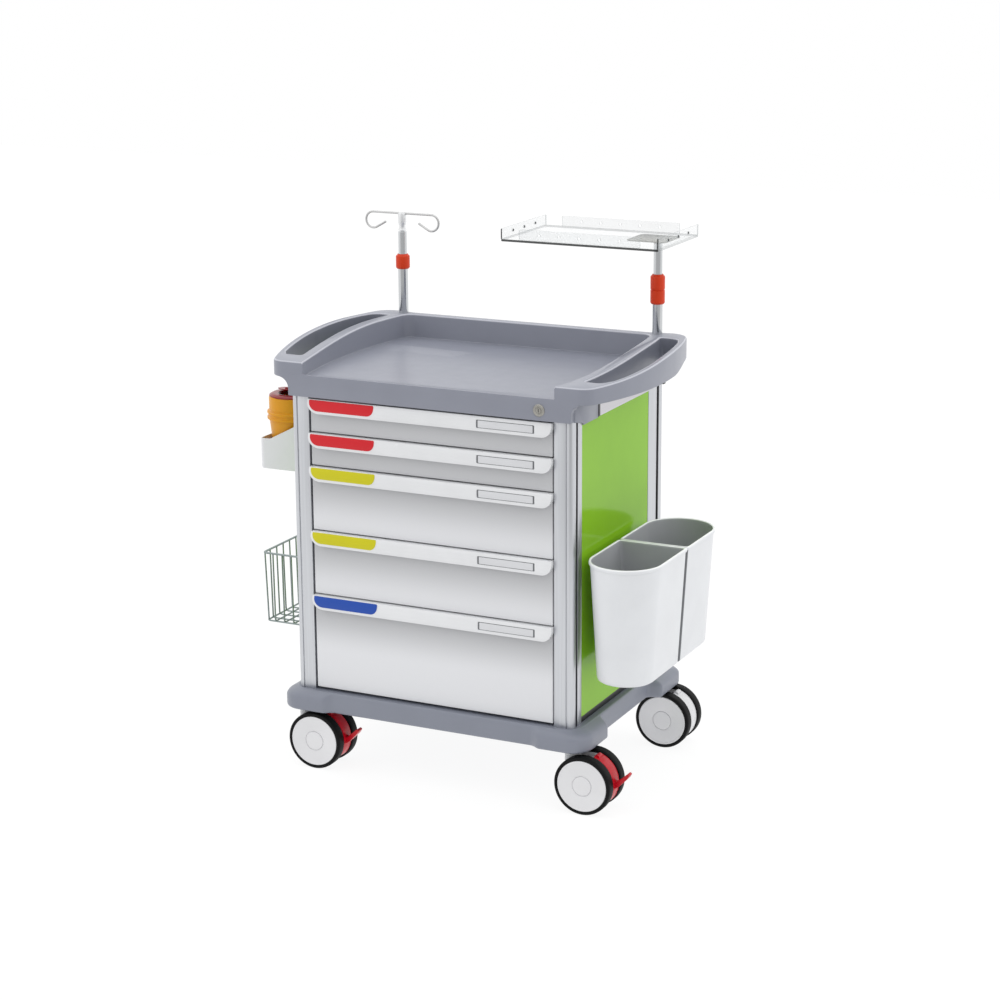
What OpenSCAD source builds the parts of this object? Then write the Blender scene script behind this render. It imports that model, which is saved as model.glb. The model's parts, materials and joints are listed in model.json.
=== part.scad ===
// Hospital emergency trolley: five drawers in an extruded-post cabinet on a moulded
// base with four twin-wheel casters, a moulded worktop with side handles, a drip pole,
// a clear swivelling shelf, twin waste bins, a sharps holder and a wire basket.
// Millimetres, +Z up, front facing -Y, origin on the floor under the cabinet's centre.

/* [Casters] */
// Radius of each caster wheel over its tyre
wheel_r = 62.5; // [50:0.5:75]
// Radius of the hard wheel disc inside the tyre
disc_r = 55; // [44:0.5:66]
// Width over the pair of wheels
twin_w = 84; // [70:1:90]
// Width of one wheel of the pair
wheel_w = 24; // [16:1:26]
// Distance that the axle trails the swivel stem
trail = 37; // [25:1:45]
// Half the distance between left and right swivel stems
stem_x = 315; // [300:1:320]
// Half the distance between front and rear swivel stems
stem_y = 216.5; // [200:0.5:225]

/* [Base] */
// Underside of the base moulding above the floor
base_z = 129; // [128:0.5:140]
// Thickness of the base moulding
base_h = 45.5; // [40:0.5:60]
// Half width of the base between its corner bumpers
base_x = 338; // [330:1:345]
// Half depth of the base between its corner bumpers
base_y = 250; // [246:1:256]
// Radius of each front corner bumper
bumper_r = 45; // [35:1:50]
// Radius of each rear corner bumper
rear_bumper_r = 35; // [30:1:45]

/* [Cabinet] */
// Width of the cabinet over its posts
cab_w = 647; // [620:1:660]
// Depth of the cabinet over its posts
cab_d = 475; // [460:1:480]
// Underside of the worktop above the floor
cab_top = 818.5; // [812:0.5:830]
// Width of the opening between the posts
open_w = 563; // [540:1:570]
// Depth of a front post, front to back
front_post_d = 43; // [36:1:50]
// Depth of a rear post, front to back
rear_post_d = 85; // [60:1:95]

/* [Drawers] */
// Height that each drawer takes up, from the top drawer down
drawer_h = [73.5, 72, 140.5, 140.5, 210];
// Height of the grip strip along the top of each drawer front
strip_h = 31; // [26:1:36]
// How far the grip strips stand in front of the posts
strip_out = 7.5; // [0:0.5:10]
// Set-back of the plain face below the grip strip
face_back = 9; // [4:1:12]
// Outer depth of a drawer box
box_d = 404; // [300:1:410]

/* [Worktop] */
// Depth of the worktop
top_d = 500; // [490:1:520]
// Half width at the middle of the bowed handles
handle_x = 413; // [400:1:420]
// Radius of the bow of the handles in front of the middle, seen from above
bow_r = 600; // [480:1:700]
// The same radius behind the middle
rear_bow_r = 760; // [600:1:900]
// Height of the front lip above the floor
lip_z = 865; // [860:1:870]
// Height of the tray's floor
tray_z = 860; // [857:1:863]
// Lowest height of the rim, at the front
rim_low = 892; // [885:1:900]
// Highest height of the rim, towards the back
rim_high = 913; // [905:1:925]

/* [Poles and shelf] */
// Distance of each pole from the middle
pole_x = 307; // [300:1:309]
// Distance of each pole behind the middle
pole_y = 236; // [234:1:237]
// Outer radius of a lower tube
tube_r = 11; // [10:0.5:12]
// Height of the drip hooks above the floor
hook_z = 1136.5; // [1110:0.5:1200]
// Distance from the pole to the outside of each drip hook
hook_reach = 91; // [70:1:120]
// Width and depth of the clear shelf
shelf = [357, 224]; // [200:1:400]
// Underside of the clear shelf above the floor
shelf_z = 1123; // [1100:1:1160]
// Height of the shelf's fences over its underside
fence_h = 27; // [15:1:40]

/* [Accessories] */
// Radius of the round end of a bin over its rim
bin_r = 77.5; // [60:0.5:90]
// Length of the straight part of one bin
bin_len = 137; // [100:1:150]
// Height of the bins' rim above the floor
bin_top = 531; // [500:1:560]
// Height of a bin
bin_h = 252; // [200:1:260]
// Narrowing of a bin on each side, top to bottom
bin_taper = 15; // [4:1:16]
// Size of the wire basket, left-right, front-back and up-down
basket = [165, 200, 161];
// Height of the wire basket's underside above the floor
basket_z = 259; // [240:1:280]
// Size of the sharps holder, left-right, front-back and at its outer edge up-down
holder = [164, 118, 66];
// Height of the sharps holder's underside above the floor
holder_z = 612; // [600:1:640]

/* [Hidden] */
$fn = 96;
wheel_names = ["front_left", "front_right", "rear_left", "rear_right"];

eps = 0.01;
fit = 0.05;            // radial clearance of a running fit
gap = 0.4;             // clearance between moving faces
wall = 2.5;            // wall of the moulded bins and holder
cab_x = cab_w / 2;
cab_y = cab_d / 2;
open_x = open_w / 2;
base_top = base_z + base_h;
top_gap = 4;           // dark gap over the top drawer
front_y = -cab_y - strip_out;   // plane of the grip strips' edges
corner_r = 14;         // rounding of a post's outer corner
plastic = [0.54, 0.56, 0.61];
silver = [0.76, 0.77, 0.78];
white = [0.90, 0.90, 0.91];
black = [0.08, 0.08, 0.09];
red = [0.84, 0.10, 0.18];
tab_colours = [[0.83, 0.23, 0.25], [0.83, 0.23, 0.25], [0.80, 0.78, 0.23], [0.80, 0.78, 0.23],
    [0.21, 0.36, 0.66]];

// Points of an arc from angle a0 to angle a1 in n steps
function arc(cx, cy, r, a0, a1, n) =
    [for (i = [0:n]) let (a = a0 + (a1 - a0) * i / n) [cx + r * cos(a), cy + r * sin(a)]];
// The same points on the other side of the middle, in the opposite order
function mirrored(pts) = [for (i = [len(pts) - 1:-1:0]) [-pts[i].x, pts[i].y]];
// Sum of the first n drawer heights
function stack(n) = n == 0 ? 0 : drawer_h[n - 1] + stack(n - 1);
// Top of drawer n, counted from 0 at the top
function drawer_top(n) = cab_top - top_gap - stack(n);

// Copies its child at the left (-1) and right (+1)
module both_sides() {
    for (s = [-1, 1]) scale([s, 1, 1]) children();
}
// A bar along Y with its section drawn in X and Z
module along_y(y0, y1) {
    translate([0, y1, 0]) rotate([90, 0, 0]) linear_extrude(y1 - y0) children();
}
// A bar along X with its section drawn in Y and Z
module along_x(x0, x1) {
    translate([x0, 0, 0]) rotate([90, 0, 90]) linear_extrude(x1 - x0) children();
}
// A box from its low corner to its high corner
module span(low, high) {
    translate(low) cube(high - low);
}
// A rectangle with round corners, centred
module round_rect(w, d, r) {
    square([w, d - 2 * r], center = true);
    square([w - 2 * r, d], center = true);
    for (x = [-1, 1], y = [-1, 1]) translate([x * (w / 2 - r), y * (d / 2 - r)]) circle(r);
}

// ---------------------------------------------------------------- base and chassis
stem_r = 8;
socket_r = 15;
base_wall = 5;
frame_z = base_z + 4;

module base_outline(inset) {
    x = base_x - inset;
    y = base_y - inset;
    front = bumper_r - inset;
    rear = rear_bumper_r - inset;
    rear_x = stem_x + 16;
    rear_y = stem_y + 16.5;
    right = concat([[232, -y], [256, -stem_y - front]], arc(stem_x, -stem_y, front, -90, 0, 10),
        [[stem_x + front, -142], [x, -125], [x, 125], [rear_x + rear, 142]],
        arc(rear_x, rear_y, rear, 0, 90, 10), [[256, rear_y + rear], [232, y]]);
    polygon(concat(right, mirrored(right)));
}
module base() {
    color(plastic) difference() {
        translate([0, 0, base_z]) linear_extrude(base_h) base_outline(0);
        translate([0, 0, base_z - eps]) linear_extrude(base_h - base_wall) base_outline(base_wall);
    }
}
module chassis_frame() {
    bar = [40, 30];
    color("dimgray") difference() {
        union() {
            for (y = [-1, 1]) translate([0, y * stem_y, frame_z + bar.y / 2])
                cube([2 * stem_x, bar.x, bar.y], center = true);
            for (x = [-1, 1]) translate([x * (stem_x - 25), 0, frame_z + bar.y / 2])
                cube([bar.x, 2 * stem_y, bar.y], center = true);
            for (x = [-1, 1], y = [-1, 1]) translate([x * stem_x, y * stem_y, frame_z])
                cylinder(r = socket_r + 5, h = bar.y);
        }
        for (x = [-1, 1], y = [-1, 1]) translate([x * stem_x, y * stem_y, frame_z - 1])
            cylinder(r = stem_r + fit, h = bar.y + 2);
    }
}

// ---------------------------------------------------------------- screw places
screw_r = 2.4;
// Places its child at every screw of the cabinet, with the head towards local +Z
module at_screws() {
    for (x = [-1, 1], z = [base_top + 30, (base_top + cab_top) / 2, cab_top - 30])
        translate([x * (open_x - 14), cab_y - 1.5, z]) rotate([-90, 0, 0]) children();
    for (y = [side_y - 7, side_y + holder.y + 7])
        translate([-cab_x - 3, y, holder_z + 90]) rotate([0, -90, 0]) children();
    for (y = [-75, 75])
        translate([cab_x + 9, bin_y + y, hook_top - 20]) rotate([0, 90, 0]) children();
}
// The holes that the screws pass through
module screw_holes() {
    at_screws() translate([0, 0, -10]) cylinder(r = screw_r + fit, h = 11);
}

// ---------------------------------------------------------------- cabinet
slot_depth = 8;
module post_section(depth, slot_at, slot_w) {
    // Outer corner at the origin, body towards -X and +Y
    width = cab_x - open_x;
    difference() {
        union() {
            translate([-width, corner_r]) square([width, depth - corner_r]);
            translate([-width, 0]) square([width - corner_r, depth]);
            translate([-corner_r, corner_r]) circle(corner_r);
        }
        translate([-slot_depth, slot_at]) square([slot_depth + 1, slot_w]);
        translate([-slot_depth, slot_at - 3]) square([4, slot_w + 6]);
        translate([-width + 6, 8]) square([width - 24, depth - 16]);
    }
}
module post_front(side) {
    color(silver) scale([side, 1, 1]) translate([cab_x, -cab_y, base_top])
        linear_extrude(cab_top - base_top) post_section(front_post_d, 14.3, 8.8);
}
module post_rear(side) {
    color(silver) scale([side, 1, 1]) difference() {
        translate([cab_x, cab_y, base_top]) mirror([0, 1, 0])
            linear_extrude(cab_top - base_top) post_section(rear_post_d, 27.5, 12.5);
        translate([pole_x, pole_y, base_top - 1])
            cylinder(r = tube_r + fit, h = cab_top - base_top + 2);
    }
}
panel_low = base_top + 13.5;
panel_high = cab_top - 12.5;
module side_panels() {
    color([0.55, 0.76, 0.30]) difference() {
        both_sides() span([cab_x - 4, -cab_y + front_post_d, panel_low],
            [cab_x - 1, cab_y - rear_post_d, panel_high]);
        screw_holes();
    }
}
module back_panel() {
    color(white) difference() {
        span([-open_x, cab_y - 4, base_top + 4], [open_x, cab_y - 1.5, cab_top]);
        screw_holes();
    }
}
module side_trims() {
    color(silver) both_sides()
        span([cab_x - 12, -108, panel_high], [cab_x, cab_y - rear_post_d, lip_z - 12]);
}

rail_h = 30;
rail_y0 = -188;
rail_y1 = 200;
box_x = 262;
// Centre height of the slides of drawer n
function slide_z(n) = drawer_top(n) - drawer_h[n] + 33;
module drawer_rails() {
    color("gainsboro") both_sides() for (n = [0:4]) along_y(rail_y0, rail_y1)
        translate([open_x, slide_z(n)]) difference() {
            translate([-12.5, -rail_h / 2]) square([12.5, rail_h]);
            translate([-13.5, -rail_h / 2 + 2]) square([11.5, rail_h - 4]);
        }
}

// ---------------------------------------------------------------- drawers
front_x = open_x - 4;
strip_x = open_x - 2;
box_y0 = -cab_y + 23;
strip_corner = 24;
bulge = 2.5;
tab_x = [-274.5, -123];
tab_h = 23.5;
tab_corner = 18;
label_x = [112.5, 242.5];
label_h = 18;

// Section of the grip strip in Y and Z with its top at 0, grown forward by out
module strip_section(out) {
    sag = bulge + out;
    radius = (pow(strip_h / 2, 2) + pow(sag, 2)) / (2 * sag);
    half = asin(strip_h / 2 / radius);
    polygon(concat([[box_y0, -strip_h], [box_y0, 0]],
        arc(front_y - sag + radius, -strip_h / 2, radius, 180 - half, 180 + half, 12)));
}
// Slab with an outline drawn in X and Z, deep enough to cut the whole strip
module strip_outline() {
    along_y(front_y - 12, box_y0) children();
}
module tab_outline() {
    z = tab_corner - tab_h - 1.5;
    polygon(concat([[tab_x[1], -1.5], [tab_x[0], -1.5]],
        arc(tab_x[0] + tab_corner, z, tab_corner, 180, 270, 8),
        arc(tab_x[1] - tab_corner, z, tab_corner, 270, 360, 8)));
}
module drawer_front(n) {
    top = drawer_top(n);
    low = top - drawer_h[n] + 3;
    color(white) {
        span([-front_x, front_y + face_back, low], [front_x, box_y0, top]);
        translate([0, 0, top]) difference() {
            intersection() {
                along_x(-strip_x, strip_x) strip_section(0);
                strip_outline() {
                    translate([-strip_x, -strip_h + strip_corner])
                        square([2 * strip_x, strip_h]);
                    translate([-strip_x + strip_corner, -strip_h])
                        square([2 * (strip_x - strip_corner), strip_h]);
                    for (s = [-1, 1])
                        translate([s * (strip_x - strip_corner), -strip_h + strip_corner])
                            circle(strip_corner);
                }
            }
            difference() {
                strip_outline() tab_outline();
                along_x(-strip_x, strip_x) translate([1.5, 0]) strip_section(0);
            }
            difference() {
                strip_outline() translate([label_x[0], -(strip_h + label_h) / 2])
                    square([label_x[1] - label_x[0], label_h]);
                along_x(-strip_x, strip_x) translate([1.8, 0]) strip_section(0);
            }
            // Finger groove behind the lower edge of the strip
            along_x(-strip_x + strip_corner, strip_x - strip_corner)
                translate([front_y + 4, -strip_h - 1]) square([face_back - 4, 9]);
        }
    }
}
module colour_tab(n) {
    color(tab_colours[n]) translate([0, 0, drawer_top(n)]) intersection() {
        strip_outline() tab_outline();
        difference() {
            along_x(tab_x[0], tab_x[1]) translate([-1, 0]) strip_section(0);
            along_x(tab_x[0] - 1, tab_x[1] + 1) translate([1.5, 0]) strip_section(0);
        }
    }
}
module drawer_box(n) {
    low = drawer_top(n) - drawer_h[n] + 8;
    high = drawer_top(n) - 12;
    box_wall = 2;
    roller_r = 12;
    color("gainsboro") {
        difference() {
            span([-box_x, box_y0, low], [box_x, box_y0 + box_d, high]);
            span([-box_x + box_wall, box_y0 + box_wall, low + box_wall],
                 [box_x - box_wall, box_y0 + box_d - box_wall, high + 1]);
        }
        both_sides() {
            // Runner on the side of the box, and the roller at its back end
            along_y(rail_y0, rail_y1 - 10) translate([box_x - eps, slide_z(n)]) {
                translate([0, -12]) square([3, 24]);
                translate([0, -5]) square([11, 10]);
            }
            translate([box_x + 6, rail_y1 - 24, slide_z(n)]) rotate([0, 90, 0])
                cylinder(r = roller_r, h = 10);
        }
    }
}

// ---------------------------------------------------------------- worktop
top_y = top_d / 2;
top_corner = 35;
rear_y = top_y + 8;     // back of the handles behind the worktop's back edge
rear_corner = 45;
skin = 6;
handle_low = 857;      // underside of the handles
tray_bow = 1150;       // radius of the tray's bowed side walls
tray_x = 316.5;        // half width of the tray at its widest
tray_back = top_y - 20;
tray_corner = 25;
lock_pos = [254, 840]; // X and Z of the lock

// Height of the rim at a distance y behind the middle
function rim_z(y) =
    (rim_low + rim_high) / 2 + (rim_high - rim_low) / 2 * sin(90 * max(-1, min(1, (y + 55) / 190)));

// Round corner of radius r that ends a bow of radius bow at the line y = edge
function bow_corner(bow, r, edge) =
    let (y = edge - r, x = handle_x - bow + sqrt(pow(bow - r, 2) - pow(y, 2)))
    arc(x, y, r, asin(y / (bow - r)), 90, 8);
// The quarter of a bowed outline in front of the middle, from the front to the side
function front_quarter(bow, r, edge) =
    [for (i = [8:-1:0]) let (p = bow_corner(bow, r, edge)[i]) [p.x, -p.y]];
// Points along a bow of radius bow whose widest place is x, between two values of y
function bow_points(x, bow, y0, y1, n) = [for (i = [0:n]) let (y = y0 + (y1 - y0) * i / n)
    [x - bow + sqrt(pow(bow, 2) - pow(y, 2)), y]];

module handle_outline() {
    right = concat(front_quarter(bow_r, top_corner, top_y),
        bow_points(handle_x, bow_r, -200, 0, 14), bow_points(handle_x, rear_bow_r, 15, 195, 12),
        bow_corner(rear_bow_r, rear_corner, rear_y), [[285, top_y]]);
    polygon(concat(right, mirrored(right)));
}
module tray_outline() {
    cx = tray_x - tray_bow;
    cy = 10;
    y = tray_back - tray_corner;
    x = cx + sqrt(pow(tray_bow - tray_corner, 2) - pow(y - cy, 2));
    a = asin((y - cy) / (tray_bow - tray_corner));
    right = concat(arc(cx, cy, tray_bow, asin((-top_y - 12 - cy) / tray_bow), a, 16),
        arc(x, y, tray_corner, a, 90, 8));
    polygon(concat(right, mirrored(right)));
}
module slot_outline() {
    // Finger opening between the side wall and the bowed handle, with round outer ends
    ring = 13;
    inner = arc(343 - tray_bow, 15, tray_bow, 9.4, -10.2, 16);
    front = arc(354, -174, 14, -90, -20, 5);
    rear = arc(347, 181, 27, 15, 90, 6);
    polygon(concat(inner, front, bow_points(handle_x - ring, bow_r - ring, -165, 0, 10),
        bow_points(handle_x - ring - 1, rear_bow_r - ring, 15, 172, 10), rear));
}
module rim_cut() {
    // Everything above the sloping rim
    steps = 24;
    along_x(-handle_x - 5, handle_x + 5) polygon(concat(
        [for (i = [0:steps]) let (y = -top_y - 2 + (top_d + 14) * i / steps) [y, rim_z(y)]],
        [[top_y + 12, rim_high + 20], [-top_y - 2, rim_high + 20]]));
}
module worktop() {
    color(plastic) difference() {
        union() {
            translate([0, 0, handle_low]) linear_extrude(rim_high - handle_low + 5)
                handle_outline();
            // Skirt that drops over the cabinet at the front, and all along the back
            translate([0, 0, cab_top]) linear_extrude(handle_low - cab_top + 1)
                round_rect(2 * cab_x + 6, top_d, 18);
        }
        rim_cut();
        translate([0, 0, tray_z]) linear_extrude(100) tray_outline();
        // Front lip stays a little higher than the tray, lower than the rim
        span([-tray_x + 27, -top_y - 1, lip_z], [tray_x - 27, -top_y + 30, rim_high + 20]);
        both_sides() translate([0, 0, handle_low - 1]) linear_extrude(100) slot_outline();
        // Underside of the handles rises towards the back
        both_sides() along_x(cab_x + 3, handle_x + 5) polygon([[100, handle_low - 1],
            [100, handle_low], [190, handle_low + 10], [rear_y + 2, handle_low + 10],
            [rear_y + 2, handle_low - 1]]);
        // Hollow underside
        span([-cab_x + 12, -top_y + skin + 6, cab_top - 1],
             [cab_x - 12, top_y - 26, tray_z - skin]);
        // Sides of the skirt stop short, where the light trims show
        both_sides() span([cab_x - 12 - eps, -121, cab_top - 1],
                          [cab_x + 5, cab_y - rear_post_d + eps, handle_low]);
        both_sides() translate([pole_x, pole_y, cab_top - 1])
            cylinder(r = tube_r + fit, h = 120);
        translate([lock_pos.x, -top_y - 1, lock_pos.y]) rotate([-90, 0, 0])
            cylinder(r = lock_r + fit, h = 20);
    }
    // Low rolled edge along the front of the tray
    color(plastic) intersection() {
        along_x(-tray_x + 20, tray_x - 20)
            polygon([[-top_y, tray_z - 3], [-top_y, lip_z], [-top_y + 5, lip_z],
                     [-top_y + 12, tray_z], [-top_y + 12, tray_z - 3]]);
        translate([0, 0, tray_z - 4]) linear_extrude(20) tray_outline();
    }
}

// ---------------------------------------------------------------- central lock
lock_r = 9;
plug_r = 5.5;
bar_y = 198;
module lock_barrel() {
    color(silver) translate([lock_pos.x, 0, lock_pos.y]) rotate([-90, 0, 0]) difference() {
        union() {
            translate([0, 0, -top_y - 2]) cylinder(r = 12.5, h = 2);
            translate([0, 0, -top_y - eps]) cylinder(r = lock_r, h = 26);
        }
        translate([0, 0, -top_y - 3]) cylinder(r = plug_r + fit, h = 40);
    }
}
module lock_plug() {
    // Keyed plug, the rod to the back of the cabinet and the crank on its end
    color("dimgray") translate([lock_pos.x, 0, lock_pos.y]) {
        difference() {
            translate([0, -top_y - 2.5, 0]) rotate([-90, 0, 0]) cylinder(r = plug_r, h = 32);
            span([-0.8, -top_y - 3, -4], [0.8, -top_y + 4, 4]);
        }
        translate([0, -top_y + 29, 0]) rotate([-90, 0, 0]) cylinder(r = 3, h = top_y + bar_y - 16);
        span([-18, bar_y + 11.5, -3], [3, bar_y + 13, 3]);
    }
}
module lock_bar() {
    // Upright bar behind the drawers with one catch for each drawer
    x = lock_pos.x - 22;
    color("lightgray") {
        span([x, bar_y + 6, base_top + 8], [x + 12, bar_y + 10, lock_pos.y + 4]);
        for (n = [0:4]) span([x, bar_y - 5, drawer_top(n) - 8], [x + 12, bar_y + 6 + eps,
            drawer_top(n) - 5]);
    }
}

// ---------------------------------------------------------------- casters
core_y = 13.5;          // half width of the housing between the wheels
guard_y = 16.5;         // half width of the guard or pedal
axle_r = 5;
head_z = base_z - 2.5;  // top of the swivel head
neck_r = 17;            // swivel head where it passes between the wheels

// Places its child with the swivel stem of one caster as the Z axis
module at_caster(n) {
    x = n % 2 == 0 ? -1 : 1;
    y = n < 2 ? -1 : 1;
    translate([x * stem_x, y * stem_y, 0]) children();
}
// A ring sector round the axle, from angle a0 to a1 in degrees above +X
module axle_sector(r0, r1, a0, a1, half_w) {
    translate([trail, half_w, wheel_r]) rotate([90, 0, 0]) linear_extrude(2 * half_w)
        polygon(concat(arc(0, 0, r1, a0, a1, 24), arc(0, 0, r0, a1, a0, 24)));
}
module axle_rod(r, y0, y1) {
    translate([trail, y1, wheel_r]) rotate([90, 0, 0]) cylinder(r = r, h = y1 - y0);
}
module guard(r0) {
    // Curved guard over the wheels, ended by a round ear
    axle_sector(r0, 59.5, -38, 74, guard_y);
    translate([trail + 58 * cos(70), 0, wheel_r + 58 * sin(70)]) rotate([90, 0, 0])
        cylinder(r = 5.5, h = 2 * guard_y, center = true);
}
module caster_housing(n) {
    braked = n < 2;
    color(white) at_caster(n) difference() {
        union() {
            translate([0, 0, head_z - 2]) cylinder(r = stem_r, h = frame_z + 28 - head_z);
            translate([0, 0, head_z - 3.5]) cylinder(r = 24, h = 3.5);
            translate([0, 0, head_z - 14]) cylinder(r = neck_r, h = 12);
            translate([0, 0, 60]) cylinder(r = core_y, h = head_z - 70);
            axle_rod(48, -core_y, core_y);
            if (!braked) guard(46);
        }
        axle_rod(axle_r + fit, -30, 30);
    }
}
module wheel(n) {
    dish = 2;
    color(white) at_caster(n) {
        axle_rod(axle_r, -twin_w / 2 + 4, twin_w / 2 - 4);
        for (s = [-1, 1]) translate([trail, s * (twin_w - wheel_w) / 2, wheel_r]) rotate([90, 0, 0])
            difference() {
                cylinder(r = disc_r, h = wheel_w - 2, center = true);
                translate([0, 0, -s * ((wheel_w - 2) / 2 - dish / 2 + 0.5)])
                    difference() {
                        cylinder(r = disc_r - 4, h = dish + 1, center = true);
                        cylinder(r = 20, h = dish + 3, center = true);
                    }
            }
    }
}
module tyre(n) {
    edge = 6;
    color(black) at_caster(n) for (s = [-1, 1])
        translate([trail, s * (twin_w - wheel_w) / 2, wheel_r]) rotate([90, 0, 0])
            rotate_extrude() difference() {
                translate([disc_r + 0.02, -wheel_w / 2]) square([wheel_r - disc_r - 0.02, wheel_w]);
                for (t = [-1, 1]) translate([wheel_r, t * wheel_w / 2]) rotate(45)
                    square(edge / 2, center = true);
            }
}
module brake_pedal(n) {
    // Curved lever over the wheels with a foot step, and two cheeks that carry it on the axle
    color(red) at_caster(n) difference() {
        union() {
            guard(51);
            for (y = [-1, 1]) translate([0, y * (core_y + guard_y + gap) / 2, 0]) {
                axle_sector(8, 53, 10, 55, (guard_y - core_y - gap) / 2);
                axle_rod(12, -(guard_y - core_y - gap) / 2, (guard_y - core_y - gap) / 2);
            }
            translate([trail, 0, wheel_r]) along_y(-18, 18) polygon([[52, -9], [58, -9],
                [70, 0], [87, 18], [91, 26], [86, 28], [81, 23], [64, 8], [52, 2]]);
        }
        axle_rod(axle_r + fit, -30, 30);
    }
}

// ---------------------------------------------------------------- poles
inner_r = tube_r - 1.5;
tube_low = 390;
module pole_tube(x, top) {
    color(silver) translate([x, pole_y, tube_low]) difference() {
        cylinder(r = tube_r, h = top - tube_low);
        translate([0, 0, -1]) cylinder(r = inner_r + fit, h = top - tube_low + 2);
    }
}
module pole_collar(x, low, high) {
    soft = 4;
    color([0.82, 0.30, 0.12]) translate([x, pole_y, 0]) rotate_extrude() difference() {
        union() {
            translate([tube_r + fit, low]) square([collar_r - tube_r - fit, high - low]);
            translate([inner_r + gap, high]) square([12.5 - inner_r - gap, 2]);
        }
        for (z = [low, high]) translate([collar_r, z]) rotate(45) square(soft, center = true);
    }
}
drip_x = -pole_x;
drip_collar = [1013, 1044];
shelf_collar = [978, 1040];
collar_r = 15.6;
module inner_tube(x, top, spigot) {
    // Sliding tube closed by a turned spigot that its head swivels on
    color(silver) translate([x, pole_y, 0]) {
        difference() {
            translate([0, 0, tube_low + 30]) cylinder(r = inner_r, h = top - tube_low - 30);
            translate([0, 0, tube_low + 29]) cylinder(r = inner_r - 1.5, h = top - tube_low - 34);
        }
        translate([0, 0, top - eps]) cylinder(r = 6, h = spigot);
    }
}
module drip_pole_tube() { pole_tube(drip_x, drip_collar[1]); }
module drip_pole_collar() { pole_collar(drip_x, drip_collar[0], drip_collar[1]); }
module drip_pole_upper() {
    inner_tube(drip_x, hook_z - 40, 18);
}
hook_wire = 2.2;       // half the thickness of the hooks' wire
hook_bend = 18;
module hook_outline() {
    // Bar, round bend and turned-up tip on the right, drawn in X and Z
    bend = [hook_reach - hook_bend, hook_z - hook_bend];
    tip = hook_bend * [cos(240), sin(240)] + 26 * [cos(150), sin(150)];
    side = hook_wire * [cos(60), sin(60)];
    polygon(concat([[0, hook_z + hook_wire]],
        [for (p = arc(0, 0, hook_bend + hook_wire, 90, -120, 20)) bend + p],
        [bend + tip - side, bend + tip + side],
        [for (p = arc(0, 0, hook_bend - hook_wire, -120, 90, 20)) bend + p],
        [[0, hook_z - hook_wire]]));
}
module drip_hooks() {
    color(silver) translate([drip_x, pole_y, 0]) difference() {
        union() {
            translate([0, 0, hook_z - 38]) cylinder(r = 8, h = 42);
            along_y(-hook_wire, hook_wire) {
                hook_outline();
                mirror([1, 0]) hook_outline();
            }
        }
        translate([0, 0, hook_z - 41]) cylinder(r = 6 + fit, h = 20);
    }
}
shelf_pole_x = pole_x;
module shelf_pole_tube() { pole_tube(shelf_pole_x, shelf_collar[1]); }
module shelf_pole_collar() { pole_collar(shelf_pole_x, shelf_collar[0], shelf_collar[1]); }
module shelf_pole_upper() {
    inner_tube(shelf_pole_x, shelf_z - 14, 11);
}
shelf_x1 = 388.5;
shelf_y1 = 262;
module fence(length, height, holes) {
    // A standing fence along X, drilled through
    difference() {
        cube([length, 3, height]);
        for (i = [1:holes]) translate([length * i / (holes + 1), -1, height * 0.55])
            rotate([-90, 0, 0]) cylinder(r = 3, h = 5);
    }
}
module clear_shelf() {
    low = [shelf_x1 - shelf.x, shelf_y1 - shelf.y];
    inset = 42;
    floor_t = 5;
    color([0.85, 0.92, 0.93, 0.35]) {
        span([low.x, low.y, shelf_z], [shelf_x1, shelf_y1, shelf_z + floor_t]);
        for (y = [low.y, shelf_y1 - 3]) translate([low.x + inset, y, shelf_z + floor_t - eps])
            fence(shelf.x - 2 * inset, fence_h - floor_t, 5);
        for (x = [low.x + 3, shelf_x1]) translate([x, low.y, shelf_z + floor_t - eps])
            rotate([0, 0, 90]) fence(shelf.y, fence_h - floor_t, 3);
    }
    // Mounting plate and the socket under it
    color(silver) difference() {
        union() {
            translate([shelf_pole_x, pole_y - 26, shelf_z - 2.9]) linear_extrude(2.9)
                round_rect(90, 90, 10);
            translate([shelf_pole_x, pole_y, shelf_z - 13.5]) cylinder(r = 12, h = 12);
        }
        translate([shelf_pole_x, pole_y, shelf_z - 15]) cylinder(r = 6 + fit, h = 12.4);
    }
}

// ---------------------------------------------------------------- bins
bin_x = 415.5;          // middle of the bins
bin_y = -38.6;          // plane between the two bins
bin_split = 1.6;        // half the gap between them
rim_lip = 2.5;
hook_top = bin_top - 19;

// A D-shaped solid, flat at y = 0 and round towards -Y, tapering downwards
module d_solid(r_low, r_high, length, height) {
    along_y(-length, 0)
        polygon([[-r_low, 0], [r_low, 0], [r_high, height], [-r_high, height]]);
    translate([0, -length, 0]) intersection() {
        cylinder(r1 = r_low, r2 = r_high, h = height);
        span([-2 * r_high, -2 * r_high, -1], [2 * r_high, 0, height + 1]);
    }
}
module bin_body() {
    r_high = bin_r - rim_lip;
    r_low = r_high - bin_taper;
    difference() {
        union() {
            d_solid(r_low, r_high, bin_len, bin_h);
            translate([0, 0, bin_h - 6]) d_solid(bin_r, bin_r, bin_len, 6);
        }
        translate([0, -wall, wall]) d_solid(r_low - wall, r_high - wall, bin_len - wall, bin_h);
    }
}
module bin(flip) {
    color([0.86, 0.87, 0.89]) translate([bin_x, bin_y, bin_top - bin_h]) {
        scale([1, flip, 1]) translate([0, -bin_split, 0]) {
            bin_body();
            // Hook that hangs over the bracket's rail
            translate([-bin_x, 0, hook_top - bin_top + bin_h]) {
                span([cab_x + 2, -65, -4], [bin_x - bin_r + rim_lip + 1.5, -28, 0]);
                span([cab_x + 2, -65, -24], [cab_x + 4.5, -28, 0]);
            }
        }
    }
}
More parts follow.
